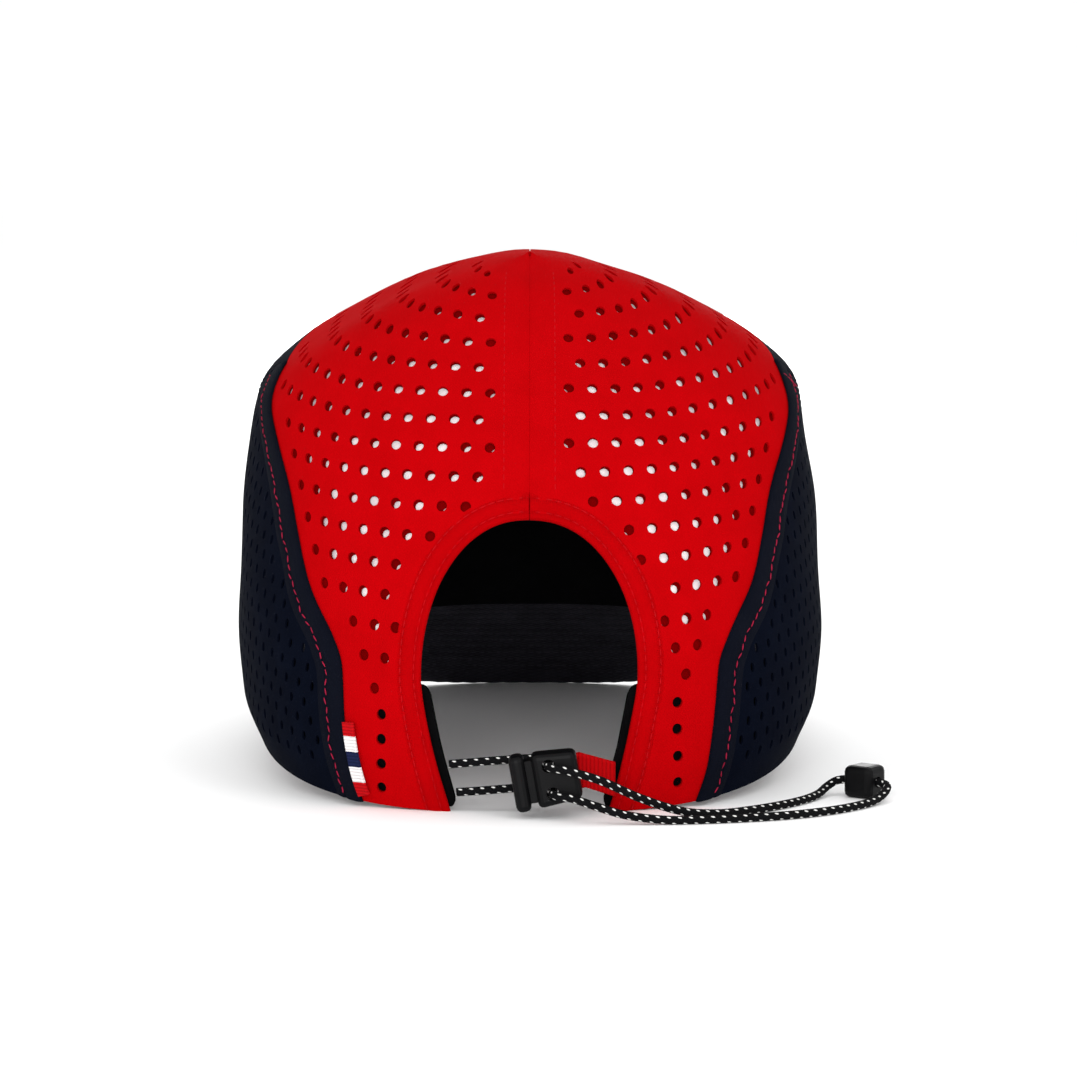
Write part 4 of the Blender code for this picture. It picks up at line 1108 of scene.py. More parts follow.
@dataclass
class CrownCloth:
    """Perforated panels of the crown, their folded edges and their stitching."""

    kit: Kit
    cell: float = 3.0 * MM
    wall: float = 0.7 * MM
    seam_gap: float = 0.4 * MM
    middle_gap: float = 0.03 * MM
    tab_foot: float = 2.0 * MM
    tab_length: float = 21.0 * MM
    tab_half_width: float = 1.8 * MM
    hole: float = 2.9 * MM
    hole_height: float = 3.2 * MM
    hole_lean: float = math.radians(24.0)
    backing_wall: float = 0.15 * MM
    backing_gap: float = 0.05 * MM
    hole_sides: int = 16
    backing_sides: int = 12
    small_sides: int = 10
    creep: Creep = Creep()
    hole_pitch: float = 6.6 * MM
    centre_margin: float = 10.8 * MM
    edge_margin: float = 6.2 * MM
    hem_margin: float = 4.5 * MM
    arch_margin: float = 8.0 * MM
    arm_column: float = 41.5 * MM
    small_hole: float = 1.5 * MM
    small_hole_height: float = 2.8 * MM
    small_pitch: float = 5.6 * MM
    small_row_pitch: float = 4.9 * MM
    small_margin: float = 9.0 * MM
    valley: float = 0.8 * MM
    valley_width: float = 1.5 * MM
    centre_stitch: float = 7.0 * MM
    groove_depth: float = 0.18 * MM
    groove_width: float = 0.9 * MM
    puff_height: float = 0.22 * MM
    puff_width: float = 2.0 * MM
    lap_step: float = 1.5 * MM
    core_height: float = 40.0 * MM

    def __post_init__(self) -> None:
        """Draws the patterns."""
        crown = self.kit.crown
        self.rear = Pattern(crown, 0.0)
        self.flank = Pattern(crown, math.pi / 2.0)
        self.front = Pattern(crown, math.pi)
        self.bands = {Side.LEFT: HoleBand(first=5.2 * MM, arm_pitch=7.0 * MM, arm_rows=5, single_rows=4),
                      Side.RIGHT: HoleBand(first=6.8 * MM, arm_pitch=7.6 * MM, arm_rows=7, single_rows=4)}

    def arch_line(self) -> np.ndarray:
        """Edge of the arch on the rear pattern, from the foot to the middle of its top."""
        crown = self.kit.crown
        below = np.linspace(0.0, crown.arch_waist, 30)[:-1]
        sweep = np.linspace(0.0, math.pi / 2.0, 90)
        above = crown.arch_waist + (crown.arch_height - crown.arch_waist) * np.sin(sweep)
        up = np.concatenate([below, above])
        return even_line(self.rear.flat(crown.turn_from_across(crown.arch_reach(up), up), up), 1.2 * MM)

    def seam_line(self, pattern: Pattern, rows: Sequence[SeamRow],
                  spacing: float = OUTLINE_STEP) -> np.ndarray:
        """A side seam on a pattern, from the hem to the shoulder."""
        crown = self.kit.crown
        heights = crown.shoulder * (1.0 - (1.0 - np.linspace(0.0, 1.0, 80)) ** 1.5)
        return even_line(pattern.flat(crown.seam_turn(rows, heights), heights), spacing)

    def ridge_line(self, pattern: Pattern) -> np.ndarray:
        """Seam over the top on a pattern, from the shoulder to the middle of the front."""
        crown = self.kit.crown
        heights = np.linspace(crown.shoulder, RIDGE[-1].rise * crown.height, 80)
        return even_line(pattern.flat(crown.seam_turn(RIDGE, heights), heights), OUTLINE_STEP)

    def crest_line(self) -> np.ndarray:
        """Middle of the front on the rear pattern, from the seam over the top back to the crown's top."""
        crown = self.kit.crown
        start = RIDGE[-1].rise * crown.height
        shares = 1.0 - (1.0 - np.linspace(0.0, 1.0, 60)) ** 1.6
        heights = start + (crown.height - 0.15 * MM - start) * shares
        turns = np.full(60, math.radians(RIDGE[-1].turn))
        return even_line(self.rear.flat(turns, heights), OUTLINE_STEP)

    def rear_outline(self) -> np.ndarray:
        """Outline of the +X rear panel, counter-clockwise from the foot of the arch."""
        arch = shifted(self.arch_line(), 0.8 * MM)
        arch[-1, 0] = self.middle_gap / 2.0
        seam = self.seam_line(self.rear, REAR_SEAM)
        seam = seam - np.array([self.seam_gap / 2.0, 0.0])
        ridge = self.ridge_line(self.rear) - np.array([self.seam_gap / 2.0, 0.0])
        crest = self.crest_line()
        crest[:, 0] = np.maximum(crest[:, 0], self.middle_gap / 2.0)
        hem = even_line(np.stack([arch[0], seam[0]]), OUTLINE_STEP)
        middle = even_line(np.array([[self.middle_gap / 2.0, crest[-1, 1]], arch[-1]]), OUTLINE_STEP)
        return np.concatenate([hem[:-1], seam, ridge[1:], crest[1:-1], middle[:-1], arch[::-1][:-1]])

    def flank_outline(self) -> np.ndarray:
        """Outline of the +X side panel, counter-clockwise from its rear foot."""
        rear = self.seam_line(self.flank, REAR_SEAM) + np.array([self.seam_gap / 2.0, 0.0])
        front = self.seam_line(self.flank, FRONT_SEAM) - np.array([self.seam_gap / 2.0, 0.0])
        hem = even_line(np.stack([rear[0], front[0]]), OUTLINE_STEP)
        return np.concatenate([hem[:-1], front[:-1], rear[::-1][:-1]])

    def front_outline(self) -> np.ndarray:
        """Outline of the whole front panel."""
        seam = self.seam_line(self.front, FRONT_SEAM)
        ridge = self.ridge_line(self.front)
        near = np.concatenate([seam[:-1], ridge]) + np.array([self.seam_gap / 2.0, 0.0])
        near[-1] = (0.0, near[-1, 1] - self.seam_gap)
        hem = even_line(np.array([[0.0, 0.0], near[0]]), OUTLINE_STEP)
        near = np.concatenate([hem[:-1], near])
        far = (near * np.array([-1.0, 1.0]))[::-1][:-1]
        return np.concatenate([near[:-1], far])[::-1]

    def blank(self, name: str, outline: np.ndarray, wall: float) -> bpy.types.Object:
        """Cloth cut flat to an outline, with its thickness."""
        low, high = outline.min(axis=0) - self.cell, outline.max(axis=0) + self.cell
        count = np.ceil((high - low) / self.cell).astype(int) + 1
        made = Bench.grid(name, int(count[0]), int(count[1]))
        points = Bench.points(made)
        points[:, :2] = low + points[:, :2] * (high - low)
        Bench.set_points(made, points)
        Bench.apply(made, "SOLIDIFY", thickness=wall, offset=-1.0)
        Bench.boolean(made, Bench.prism("outline", outline, -3.0 * wall, 3.0 * wall), "INTERSECT")
        return made

    def punch(self, made: bpy.types.Object, places: np.ndarray, width: float, height: float, sides: int,
              lean: float = 0.0) -> None:
        """Cuts oblong holes through flat cloth.

        Args:
            made: Flat cloth.
            places: Middle of each hole.
            width: Width of a hole.
            height: Height of a hole.
            sides: Corners round a hole.
            lean: Angle that a hole's top leans towards the pattern's middle line, give or take a third.
        """
        bpy.ops.mesh.primitive_cylinder_add(vertices=sides, radius=width / 2.0, depth=6.0 * self.wall)
        template = Bench.named("punch")
        template.data.transform(Matrix.Diagonal((1.0, height / width, 1.0, 1.0)))
        origins = np.column_stack([places, np.zeros(len(places))])
        angles = lean * (1.0 + np.sin(97.0 * np.arange(len(places))) / 3.0)
        sines, cosines = np.sin(angles), np.cos(angles)
        axes = np.zeros((len(places), 3, 3))
        axes[:, 0, 0], axes[:, 0, 1] = cosines, sines
        axes[:, 1, 0], axes[:, 1, 1] = -sines, cosines
        axes[:, 2, 2] = 1.0
        cutter = Bench.stamp("punches", template, origins, axes)
        Bench.boolean(made, cutter, "DIFFERENCE")

    def lay(self, made: bpy.types.Object, pattern: Pattern, side: Side, base: float = 0.0,
            shape: Callable[[np.ndarray], np.ndarray] | None = None) -> None:
        """Lays flat cloth on the crown.

        Args:
            made: Flat cloth, its outer face at z = 0.
            pattern: Pattern that it was cut on.
            side: Half of the cap that it lies on.
            base: Depth of its outer face.
            shape: Extra depth for places on the pattern.
        """
        Bench.apply(made, "TRIANGULATE")
        points = Bench.points(made)
        turns, heights = pattern.place(points[:, :2])
        depth = base - points[:, 2]
        if shape is not None:
            depth = depth + shape(points[:, :2])
        laid = self.kit.crown.point(side.value * turns, heights, depth)
        Bench.set_uv(made, points[:, :2])
        Bench.set_points(made, off_the_floor(laid))
        if side is Side.LEFT and pattern is not self.front:
            made.data.flip_normals()
        Bench.smooth(made)

    def rear_holes(self, side: Side, outline: np.ndarray) -> np.ndarray:
        """Hole centres on a rear panel: staggered rows clear of the seams and of the arch."""
        places = []
        for index, up in enumerate(self.bands[side].rows(outline[:, 1].max())):
            if index < self.bands[side].single_rows:
                places.append((self.arm_column, up))
                continue
            start = self.centre_margin + (index % 2) * self.hole_pitch / 2.0
            places += [(x, up) for x in np.arange(start, outline[:, 0].max(), self.hole_pitch)]
        found = np.array(places)
        closed = np.concatenate([outline, outline[:1]])
        found = found[inside_outline(found, outline)]
        found = found[distance_to(found, closed) > self.hem_margin]
        inner = (found[:, 1] < self.edge_margin) | (distance_to(found, closed) > self.edge_margin)
        return found[inner & (distance_to(found, self.arch_line()) > self.arch_margin)]

    def backing_holes(self, side: Side, places: np.ndarray, outline: np.ndarray) -> np.ndarray:
        """Holes of the backing, moved off the panel's holes, which leaves dark crescents of painted shadow in
        them and shuts the holes near the panel's edges.
        """
        creep = self.creep
        edge = distance_to(places, np.concatenate([outline, outline[:1]]))
        wave = np.sin(places[:, 0] / creep.drift_across + places[:, 1] / creep.drift_up + side.value)
        jitter = creep.jitter * np.sin(creep.jitter_step * np.arange(len(places)))
        hole_shift = creep.reach + creep.drift * wave + jitter
        hole_shift += creep.seam_reach * (1.0 - soft_step(edge, creep.seam_near, creep.seam_far))
        hole_shift += creep.top_reach * soft_step(places[:, 1], creep.top_low, creep.top_high)
        band = self.bands[side]
        first_full_row = band.rows(outline[:, 1].max())[band.single_rows]
        hole_shift[places[:, 1] < first_full_row] = 0.0
        way = creep.way + creep.sway * np.sin(places[:, 0] / creep.sway_length)
        return places + hole_shift[:, None] * np.stack([np.cos(way), np.sin(way)], axis=1)

    def flank_holes(self, outline: np.ndarray) -> np.ndarray:
        """Small hole centres on a side panel, in a slanting lattice."""
        low, high = outline.min(axis=0), outline.max(axis=0)
        places = []
        for index, up in enumerate(np.arange(low[1] + self.edge_margin, high[1], self.small_row_pitch)):
            start = low[0] + (index % 2) * self.small_pitch / 2.0
            places += [(x, up) for x in np.arange(start, high[0], self.small_pitch)]
        found = np.array(places)
        closed = np.concatenate([outline, outline[:1]])
        found = found[inside_outline(found, outline)]
        return found[distance_to(found, closed) > self.small_margin]

    def rear_shape(self, flat: np.ndarray) -> np.ndarray:
        """Depth of a rear panel's valley at the centre seam and of its stitch grooves."""
        across = np.abs(flat[:, 0])
        valley = self.valley * np.exp(-(across / self.valley_width) ** 2)
        groove = self.groove_depth * np.exp(-((across - self.centre_stitch) / self.groove_width) ** 2)
        puff = -self.puff_height * np.exp(-((across - 0.5 * self.centre_stitch) / self.puff_width) ** 2)
        return valley + groove + puff

    def build_rear(self) -> None:
        """Two red perforated panels."""
        outline = self.rear_outline()
        for side in Side:
            made = self.blank(f"red_panel_{side.word}", outline, self.wall)
            places = self.rear_holes(side, outline)
            self.punch(made, places, self.hole, self.hole_height, self.hole_sides, self.hole_lean)
            self.lay(made, self.rear, side, shape=self.rear_shape)
            self.kit.hand_over(made, self.kit.finishes.red, "red_cloth",
                               replaced=(f"crown_panel_{side.word}",))
            # Darker red backing behind each panel: the crescents that it shows in the holes are painted
            # shadow of the hole walls.
            made = self.blank(f"red_backing_{side.word}", outline, self.backing_wall)
            self.punch(made, self.backing_holes(side, places, outline), self.hole, self.hole,
                       self.backing_sides)
            self.lay(made, self.rear, side, base=self.wall + self.backing_gap, shape=self.rear_shape)
            self.kit.hand_over(made, self.kit.finishes.backing, "red_cloth")

    def build_flanks(self) -> None:
        """Two navy side panels with small holes."""
        outline = self.flank_outline()
        for side in Side:
            made = self.blank(f"navy_panel_{side.word}", outline, self.wall)
            self.punch(made, self.flank_holes(outline), self.small_hole, self.small_hole_height,
                       self.small_sides)
            self.lay(made, self.flank, side)
            self.kit.hand_over(made, self.kit.finishes.navy, "navy_cloth",
                               replaced=(f"side_panel_{side.word}",))

    def build_front(self) -> None:
        """Plain front panel whose inner face is near black, painted shade of the crown's hollow."""
        made = self.blank("navy_front", self.front_outline(), self.wall)
        self.lay(made, self.front, Side.RIGHT)
        made.data.materials.append(self.kit.finishes.navy)
        made.data.materials.append(self.kit.finishes.inside)
        # Faces that look into the crown get the painted shade.
        middle = np.array([0.0, self.kit.crown.middle, self.core_height])
        for face in made.data.polygons:
            away = np.array(face.center) - middle
            if float(np.dot(away, np.array(face.normal))) < 0.0:
                face.material_index = 1
        self.kit.hand_over(made, self.kit.finishes.navy, "navy_cloth", replaced=("front_panel",))

    def strip(self, name: str, pattern: Pattern, line: np.ndarray, section: np.ndarray,
              side: Side) -> bpy.types.Object:
        """Closed band of cloth along a line on a pattern.

        Args:
            name: Name of the piece.
            pattern: Pattern that the line is drawn on.
            line: Points of the line.
            section: Rows of distance to the line's right and depth, in order round the section.
            side: Half of the cap.

        Returns:
            The band.
        """
        way = tangents(line)
        right = np.stack([way[:, 1], -way[:, 0]], axis=1)
        loop = np.concatenate([section, section[:1]])

        def place(along: np.ndarray, around: np.ndarray) -> np.ndarray:
            """Places of the band's points."""
            i, j = nearest(along, len(line)), nearest(around, len(loop))
            flat = line[i] + right[i] * loop[j, :1]
            flat[:, 1] = np.maximum(flat[:, 1], 0.0)
            turns, heights = pattern.place(flat)
            return off_the_floor(self.kit.crown.point(side.value * turns, heights, loop[j, 1]))

        made = Bench.sheet(name, len(line), len(loop), place, closed=True)
        Bench.smooth(made, 70.0)
        return made

    def build_arch_hem(self) -> None:
        """Rolled hem round the arch, with the grooves of two rows of stitches."""
        section = MM * np.array([(0.0, 0.55), (0.12, 0.12), (0.5, -0.18), (1.2, -0.3), (1.8, -0.2),
                                 (2.2, -0.02), (2.6, -0.2), (3.4, -0.34), (4.4, -0.36), (5.3, -0.26),
                                 (5.9, -0.06), (6.2, 0.02), (6.7, -0.03), (7.6, 0.25), (7.6, 0.9),
                                 (4.0, 1.15), (0.6, 1.15), (0.12, 0.95)])
        line = self.arch_line()
        line[-1, 0] = self.seam_gap / 4.0
        for side in Side:
            made = self.strip(f"arch_hem_{side.word}", self.rear, line, section, side)
            self.kit.hand_over(made, self.kit.finishes.red, "red_cloth")

    def build_crest(self) -> None:
        """Red strip under the join of the two red panels in front of the top."""
        section = MM * np.array([(-2.0, 0.45), (2.0, 0.45), (2.0, 0.68), (-2.0, 0.68)])
        loop = np.concatenate([section, section[:1]])
        crest = self.crest_line()
        turns, heights = self.rear.place(crest)
        below = self.rear_shape(crest)

        def place(along: np.ndarray, around: np.ndarray) -> np.ndarray:
            """Places of the strip's points."""
            i, j = nearest(along, len(crest)), nearest(around, len(loop))
            places = self.kit.crown.point(turns[i], heights[i], loop[j, 1] + below[i])
            places[:, 0] = loop[j, 0]
            return places

        made = Bench.sheet("red_crest_seam", len(crest), len(loop), place, closed=True)
        self.kit.hand_over(made, self.kit.finishes.red, "red_cloth")

    def build_tab(self) -> None:
        """Short striped ribbon sewn into the left seam, lying on the red panel."""
        section = MM * np.array([(-1.8, -0.5), (-1.8, -1.25), (-1.6, -1.4), (-1.2, -1.36), (-0.9, -1.24),
                                 (0.0, -1.2), (0.9, -1.24), (1.2, -1.36), (1.6, -1.4), (1.8, -1.25),
                                 (1.8, -0.5), (0.0, -0.4)])
        line = self.seam_line(self.rear, REAR_SEAM, 0.5 * MM)
        above = line[:, 1] - line[0, 1]
        line = line[(above > self.tab_foot) & (above < self.tab_foot + self.tab_length)]
        line = line - np.array([self.seam_gap + self.tab_half_width, 0.0])
        made = self.strip("striped_ribbon_tab", self.rear, line, section, Side.LEFT)
        self.kit.hand_over(made, self.kit.finishes.stripes, "striped_ribbon", replaced=("striped_tab",))

    def build_laps(self) -> None:
        """Folded navy edges that lap over the red at the side seams, in a lighter copy of the navy cloth:
        painted light on the raised fold.
        """
        section = MM * np.array([(-0.7, -0.25), (-0.62, -0.62), (-0.2, -0.9), (0.8, -1.0), (2.4, -0.95),
                                 (4.0, -0.8), (4.8, -0.5), (5.1, -0.4), (5.5, -0.55), (6.6, -0.5),
                                 (8.2, -0.1), (9.2, 0.25), (9.2, 0.6), (4.0, 0.4), (-0.4, -0.05)])
        line = self.seam_line(self.flank, REAR_SEAM, self.lap_step)
        for side in Side:
            made = self.strip(f"navy_lap_{side.word}", self.flank, line, section, side)
            self.kit.hand_over(made, self.kit.finishes.navy_lit_fold, "navy_cloth")

    def stitches(self, name: str, pattern: Pattern, line: np.ndarray, side: Side, depth: float,
                 length: float = 2.1 * MM, gap: float = 0.5 * MM, width: float = 0.42 * MM,
                 twist: float = 0.0) -> bpy.types.Object:
        """Row of stitches along a line on a pattern.

        Args:
            name: Name of the piece.
            pattern: Pattern that the line is drawn on.
            line: Points of the line.
            side: Half of the cap.
            depth: Depth of the thread's middle.
            length: Length of a stitch.
            gap: Gap between stitches.
            width: Thickness of the thread.
            twist: Turn of each stitch off the line, in degrees.

        Returns:
            The stitches, one mesh.
        """
        centres = even_line(line, length + gap)[1:-1]
        turns, heights = pattern.place(centres)
        crown = self.kit.crown
        origins = crown.point(side.value * turns, heights, np.full(len(centres), depth))
        return thread_row(name, origins, crown.normal(side.value * turns, heights), length, width, twist)

    @staticmethod
    def wobbled(line: np.ndarray, reach: float = 0.30 * MM, pitch: float = 13.0 * MM) -> np.ndarray:
        """A line that wanders a little, as a hand-guided seam does."""
        along = np.concatenate([[0.0], np.cumsum(np.linalg.norm(np.diff(line, axis=0), axis=1))])
        wave = np.sin(2.0 * math.pi * along / pitch)
        wave = wave + 0.6 * np.sin(2.0 * math.pi * along / (0.43 * pitch) + 1.0)
        way = tangents(line)
        return line + (reach * wave)[:, None] * np.stack([way[:, 1], -way[:, 0]], axis=1)

    def build_stitching(self) -> None:
        """Rows along the arch, the centre seam, the laps and the front seams."""
        finishes = self.kit.finishes
        arch = self.arch_line()
        centre = np.array([[self.centre_stitch, self.rear.up(self.kit.crown.arch_height) + 7.0 * MM],
                           [self.centre_stitch, self.rear.lengths[-1] - 12.0 * MM]])
        lap = self.seam_line(self.flank, REAR_SEAM, self.lap_step)
        front = self.seam_line(self.flank, FRONT_SEAM)
        for side in Side:
            red = finishes.red_thread
            wobbly = self.wobbled(shifted(lap, 5.1 * MM))
            rows = (
                ("arch_stitch_edge", self.rear, shifted(arch, 2.2 * MM), 0.0, red, 0.0),
                ("arch_stitch_inner", self.rear, shifted(arch, 6.2 * MM), 0.02 * MM, red, 0.0),
                ("centre_stitch", self.rear, centre, 0.1 * MM, red, 0.0),
                ("lap_stitch", self.flank, wobbly, -0.5 * MM, finishes.seam_thread, 14.0),
                ("front_stitch", self.flank, shifted(front, -3.0 * MM), 0.0, finishes.dark_thread, 0.0),
            )
            for name, pattern, line, depth, finish, twist in rows:
                made = self.stitches(f"{name}_{side.word}", pattern, line, side, depth, twist=twist)
                slot = "navy_cloth" if pattern is self.flank else "red_cloth"
                self.kit.hand_over(made, finish, slot)
        near_end = -6
        bar = np.linspace(shifted(lap, -0.8 * MM)[near_end], shifted(lap, 7.0 * MM)[near_end], 12)
        made = self.stitches("lap_end_bar", self.flank, bar, Side.RIGHT, -0.9 * MM, length=1.6 * MM,
                             gap=0.1 * MM)
        self.kit.hand_over(made, finishes.seam_thread, "navy_cloth")

    def build(self) -> None:
        """Builds all the crown's cloth."""
        self.build_rear()
        self.build_flanks()
        self.build_front()
        self.build_arch_hem()
        self.build_crest()
        self.build_laps()
        self.build_tab()
        self.build_stitching()


def thread_row(name: str, origins: np.ndarray, normals: np.ndarray, length: float, width: float,
               twist: float = 0.0) -> bpy.types.Object:
    """Stitches along a row of places, each a short rounded thread.

    Args:
        name: Name of the piece.
        origins: Middle of each stitch.
        normals: Way out of the cloth at each stitch.
        length: Length of a stitch.
        width: Thickness of the thread.
        twist: Turn of each stitch off the row, in degrees.

    Returns:
        The stitches, one mesh.
    """
    bpy.ops.mesh.primitive_uv_sphere_add(segments=6, ring_count=5, radius=0.5,
                                         rotation=(0.0, math.pi / 2.0, 0.0))
    template = Bench.named("stitch")
    Bench.take(template)
    bpy.ops.object.transform_apply(location=False, rotation=True, scale=False)
    template.data.transform(Matrix.Diagonal((length, width, width, 1.0)))
    ways = tangents(origins)
    across = np.cross(normals, ways)
    across /= np.linalg.norm(across, axis=1, keepdims=True)
    ways = np.cross(across, normals)
    angles = math.radians(twist) * np.where(np.arange(len(origins)) % 3 == 0, -1.0, 1.0)[:, None]
    turned = np.cos(angles) * ways + np.sin(angles) * across
    beside = np.cross(normals, turned)
    axes = np.stack([turned, beside, normals], axis=1)
    made = Bench.stamp(name, template, origins, axes)
    Bench.set_uv(made, Bench.points(made)[:, :2])
    Bench.smooth(made, 80.0)
    return made


@dataclass
class InnerLayers:
    """Sweatband, white lining and centre tape inside the crown."""

    kit: Kit
    rear: Pattern
    cloth_wall: float = 1.0 * MM
    layer_gap: float = 0.4 * MM
    lining_gap: float = 0.8 * MM
    band_height: float = 35.0 * MM
    band_wall: float = 1.6 * MM
    band_shows: float = 2.0 * MM
    band_lift: float = 0.6 * MM
    tape_half_width: float = 8.0 * MM
    lining_wall: float = 0.6 * MM
    arch_margin: float = 6.0 * MM
    seam_margin: float = 8.0 * MM
    band_columns: int = 360
    band_loop: int = 24
    band_corner: float = 2.5 * MM
    pucker: float = 0.12 * MM
    lining_step: float = 4.0 * MM
    tape_step: float = 3.0 * MM
    layer_columns: int = 26

    def build_sweatband(self) -> None:
        """Brushed black band inside the hem, with rounded edges and ends that show past the arms."""
        crown = self.kit.crown
        edge = self.cloth_wall + self.layer_gap

        def place(along: np.ndarray, around: np.ndarray) -> np.ndarray:
            """Places round the band's section and along its length."""
            angle = 2.0 * math.pi * around
            up = np.sign(np.sin(angle)) * np.abs(np.sin(angle)) ** 0.25
            out = np.sign(np.cos(angle)) * np.abs(np.cos(angle)) ** 0.6
            heights = self.band_lift + self.band_height * (0.5 + 0.5 * up)
            ends = crown.turn_from_across(crown.arch_reach(heights) - self.band_shows, heights)
            corner = self.band_corner * (1.0 - np.sqrt(1.0 - np.clip(np.abs(up) - 0.8, 0.0, 0.2) ** 2 / 0.04))
            ends = ends + corner / crown.rear_depth
            turns = ends + (2.0 * math.pi - 2.0 * ends) * along
            turns = np.where(turns > math.pi, turns - 2.0 * math.pi, turns)
            pucker = self.pucker * np.sin(turns * 140.0) * (np.abs(up) > 0.5)
            depth = edge + self.band_wall * (0.5 - 0.5 * out) + pucker
            return off_the_floor(crown.point(turns, heights, depth))

        made = Bench.sheet("sweatband_cloth", self.band_columns, self.band_loop + 1, place, closed=True)
        Bench.smooth(made, 60.0)
        self.kit.hand_over(made, self.kit.finishes.black, "black_cloth", replaced=("sweatband",))

    def layer(self, name: str, ups: np.ndarray, lefts: np.ndarray, rights: np.ndarray,
              side: Side) -> bpy.types.Object:
        """Thin layer behind the rear panels, between two edges given row by row."""
        crown = self.kit.crown
        depth = self.cloth_wall + self.lining_gap

        def place(across: np.ndarray, along: np.ndarray) -> np.ndarray:
            """Places of the layer's points."""
            i = nearest(along, len(ups))
            flat = np.column_stack([lefts[i] + (rights[i] - lefts[i]) * across, ups[i]])
            turns, heights = self.rear.place(flat)
            return crown.point(side.value * turns, heights, np.full(len(turns), depth))

        made = Bench.sheet(name, self.layer_columns, len(ups), place)
        if side is Side.LEFT:
            made.data.flip_normals()
        Bench.apply(made, "SOLIDIFY", thickness=self.lining_wall, offset=-1.0)
        Bench.smooth(made, 60.0)
        return made

    def build_lining(self) -> None:
        """White layer behind the holes, and the black tape behind the centre seam."""
        crown, rear = self.kit.crown, self.rear
        low = self.band_lift + self.band_height + self.layer_gap
        ups = np.arange(rear.up(low), rear.lengths[-1], self.lining_step)
        heights = rear.height(ups)
        above = crown.arch_height + self.arch_margin
        wider = np.where(heights < above, crown.arch_reach(np.maximum(heights - self.arch_margin, 0.0)), 0.0)
        wider = np.maximum(wider, crown.arch_reach(heights)) + self.arch_margin
        wider = np.where(heights < above, wider, 0.0)
        lefts = rear.flat(crown.turn_from_across(wider, heights), heights)[:, 0]
        lefts = np.maximum(lefts, self.tape_half_width + self.layer_gap)
        edge = np.where(heights < crown.shoulder, crown.seam_turn(REAR_SEAM, heights), math.pi / 2.0)
        rights = rear.flat(edge, heights)[:, 0] - self.seam_margin
        kept = rights - lefts > self.seam_margin
        for side in Side:
            made = self.layer(f"white_layer_{side.word}", ups[kept], lefts[kept], rights[kept], side)
            self.kit.hand_over(made, self.kit.finishes.lining, "white_lining",
                               replaced=(f"crown_lining_{side.word}",))
        ups = np.arange(rear.up(crown.arch_height) + self.layer_gap, rear.lengths[-1] - self.tape_half_width,
                        self.tape_step)
        reach = np.full(len(ups), self.tape_half_width)
        made = self.layer("centre_tape", ups, -reach, reach, Side.RIGHT)
        self.kit.hand_over(made, self.kit.finishes.black, "black_cloth", replaced=("centre_seam_tape",))

    def build(self) -> None:
        """Builds the layers."""
        self.build_sweatband()
        self.build_lining()


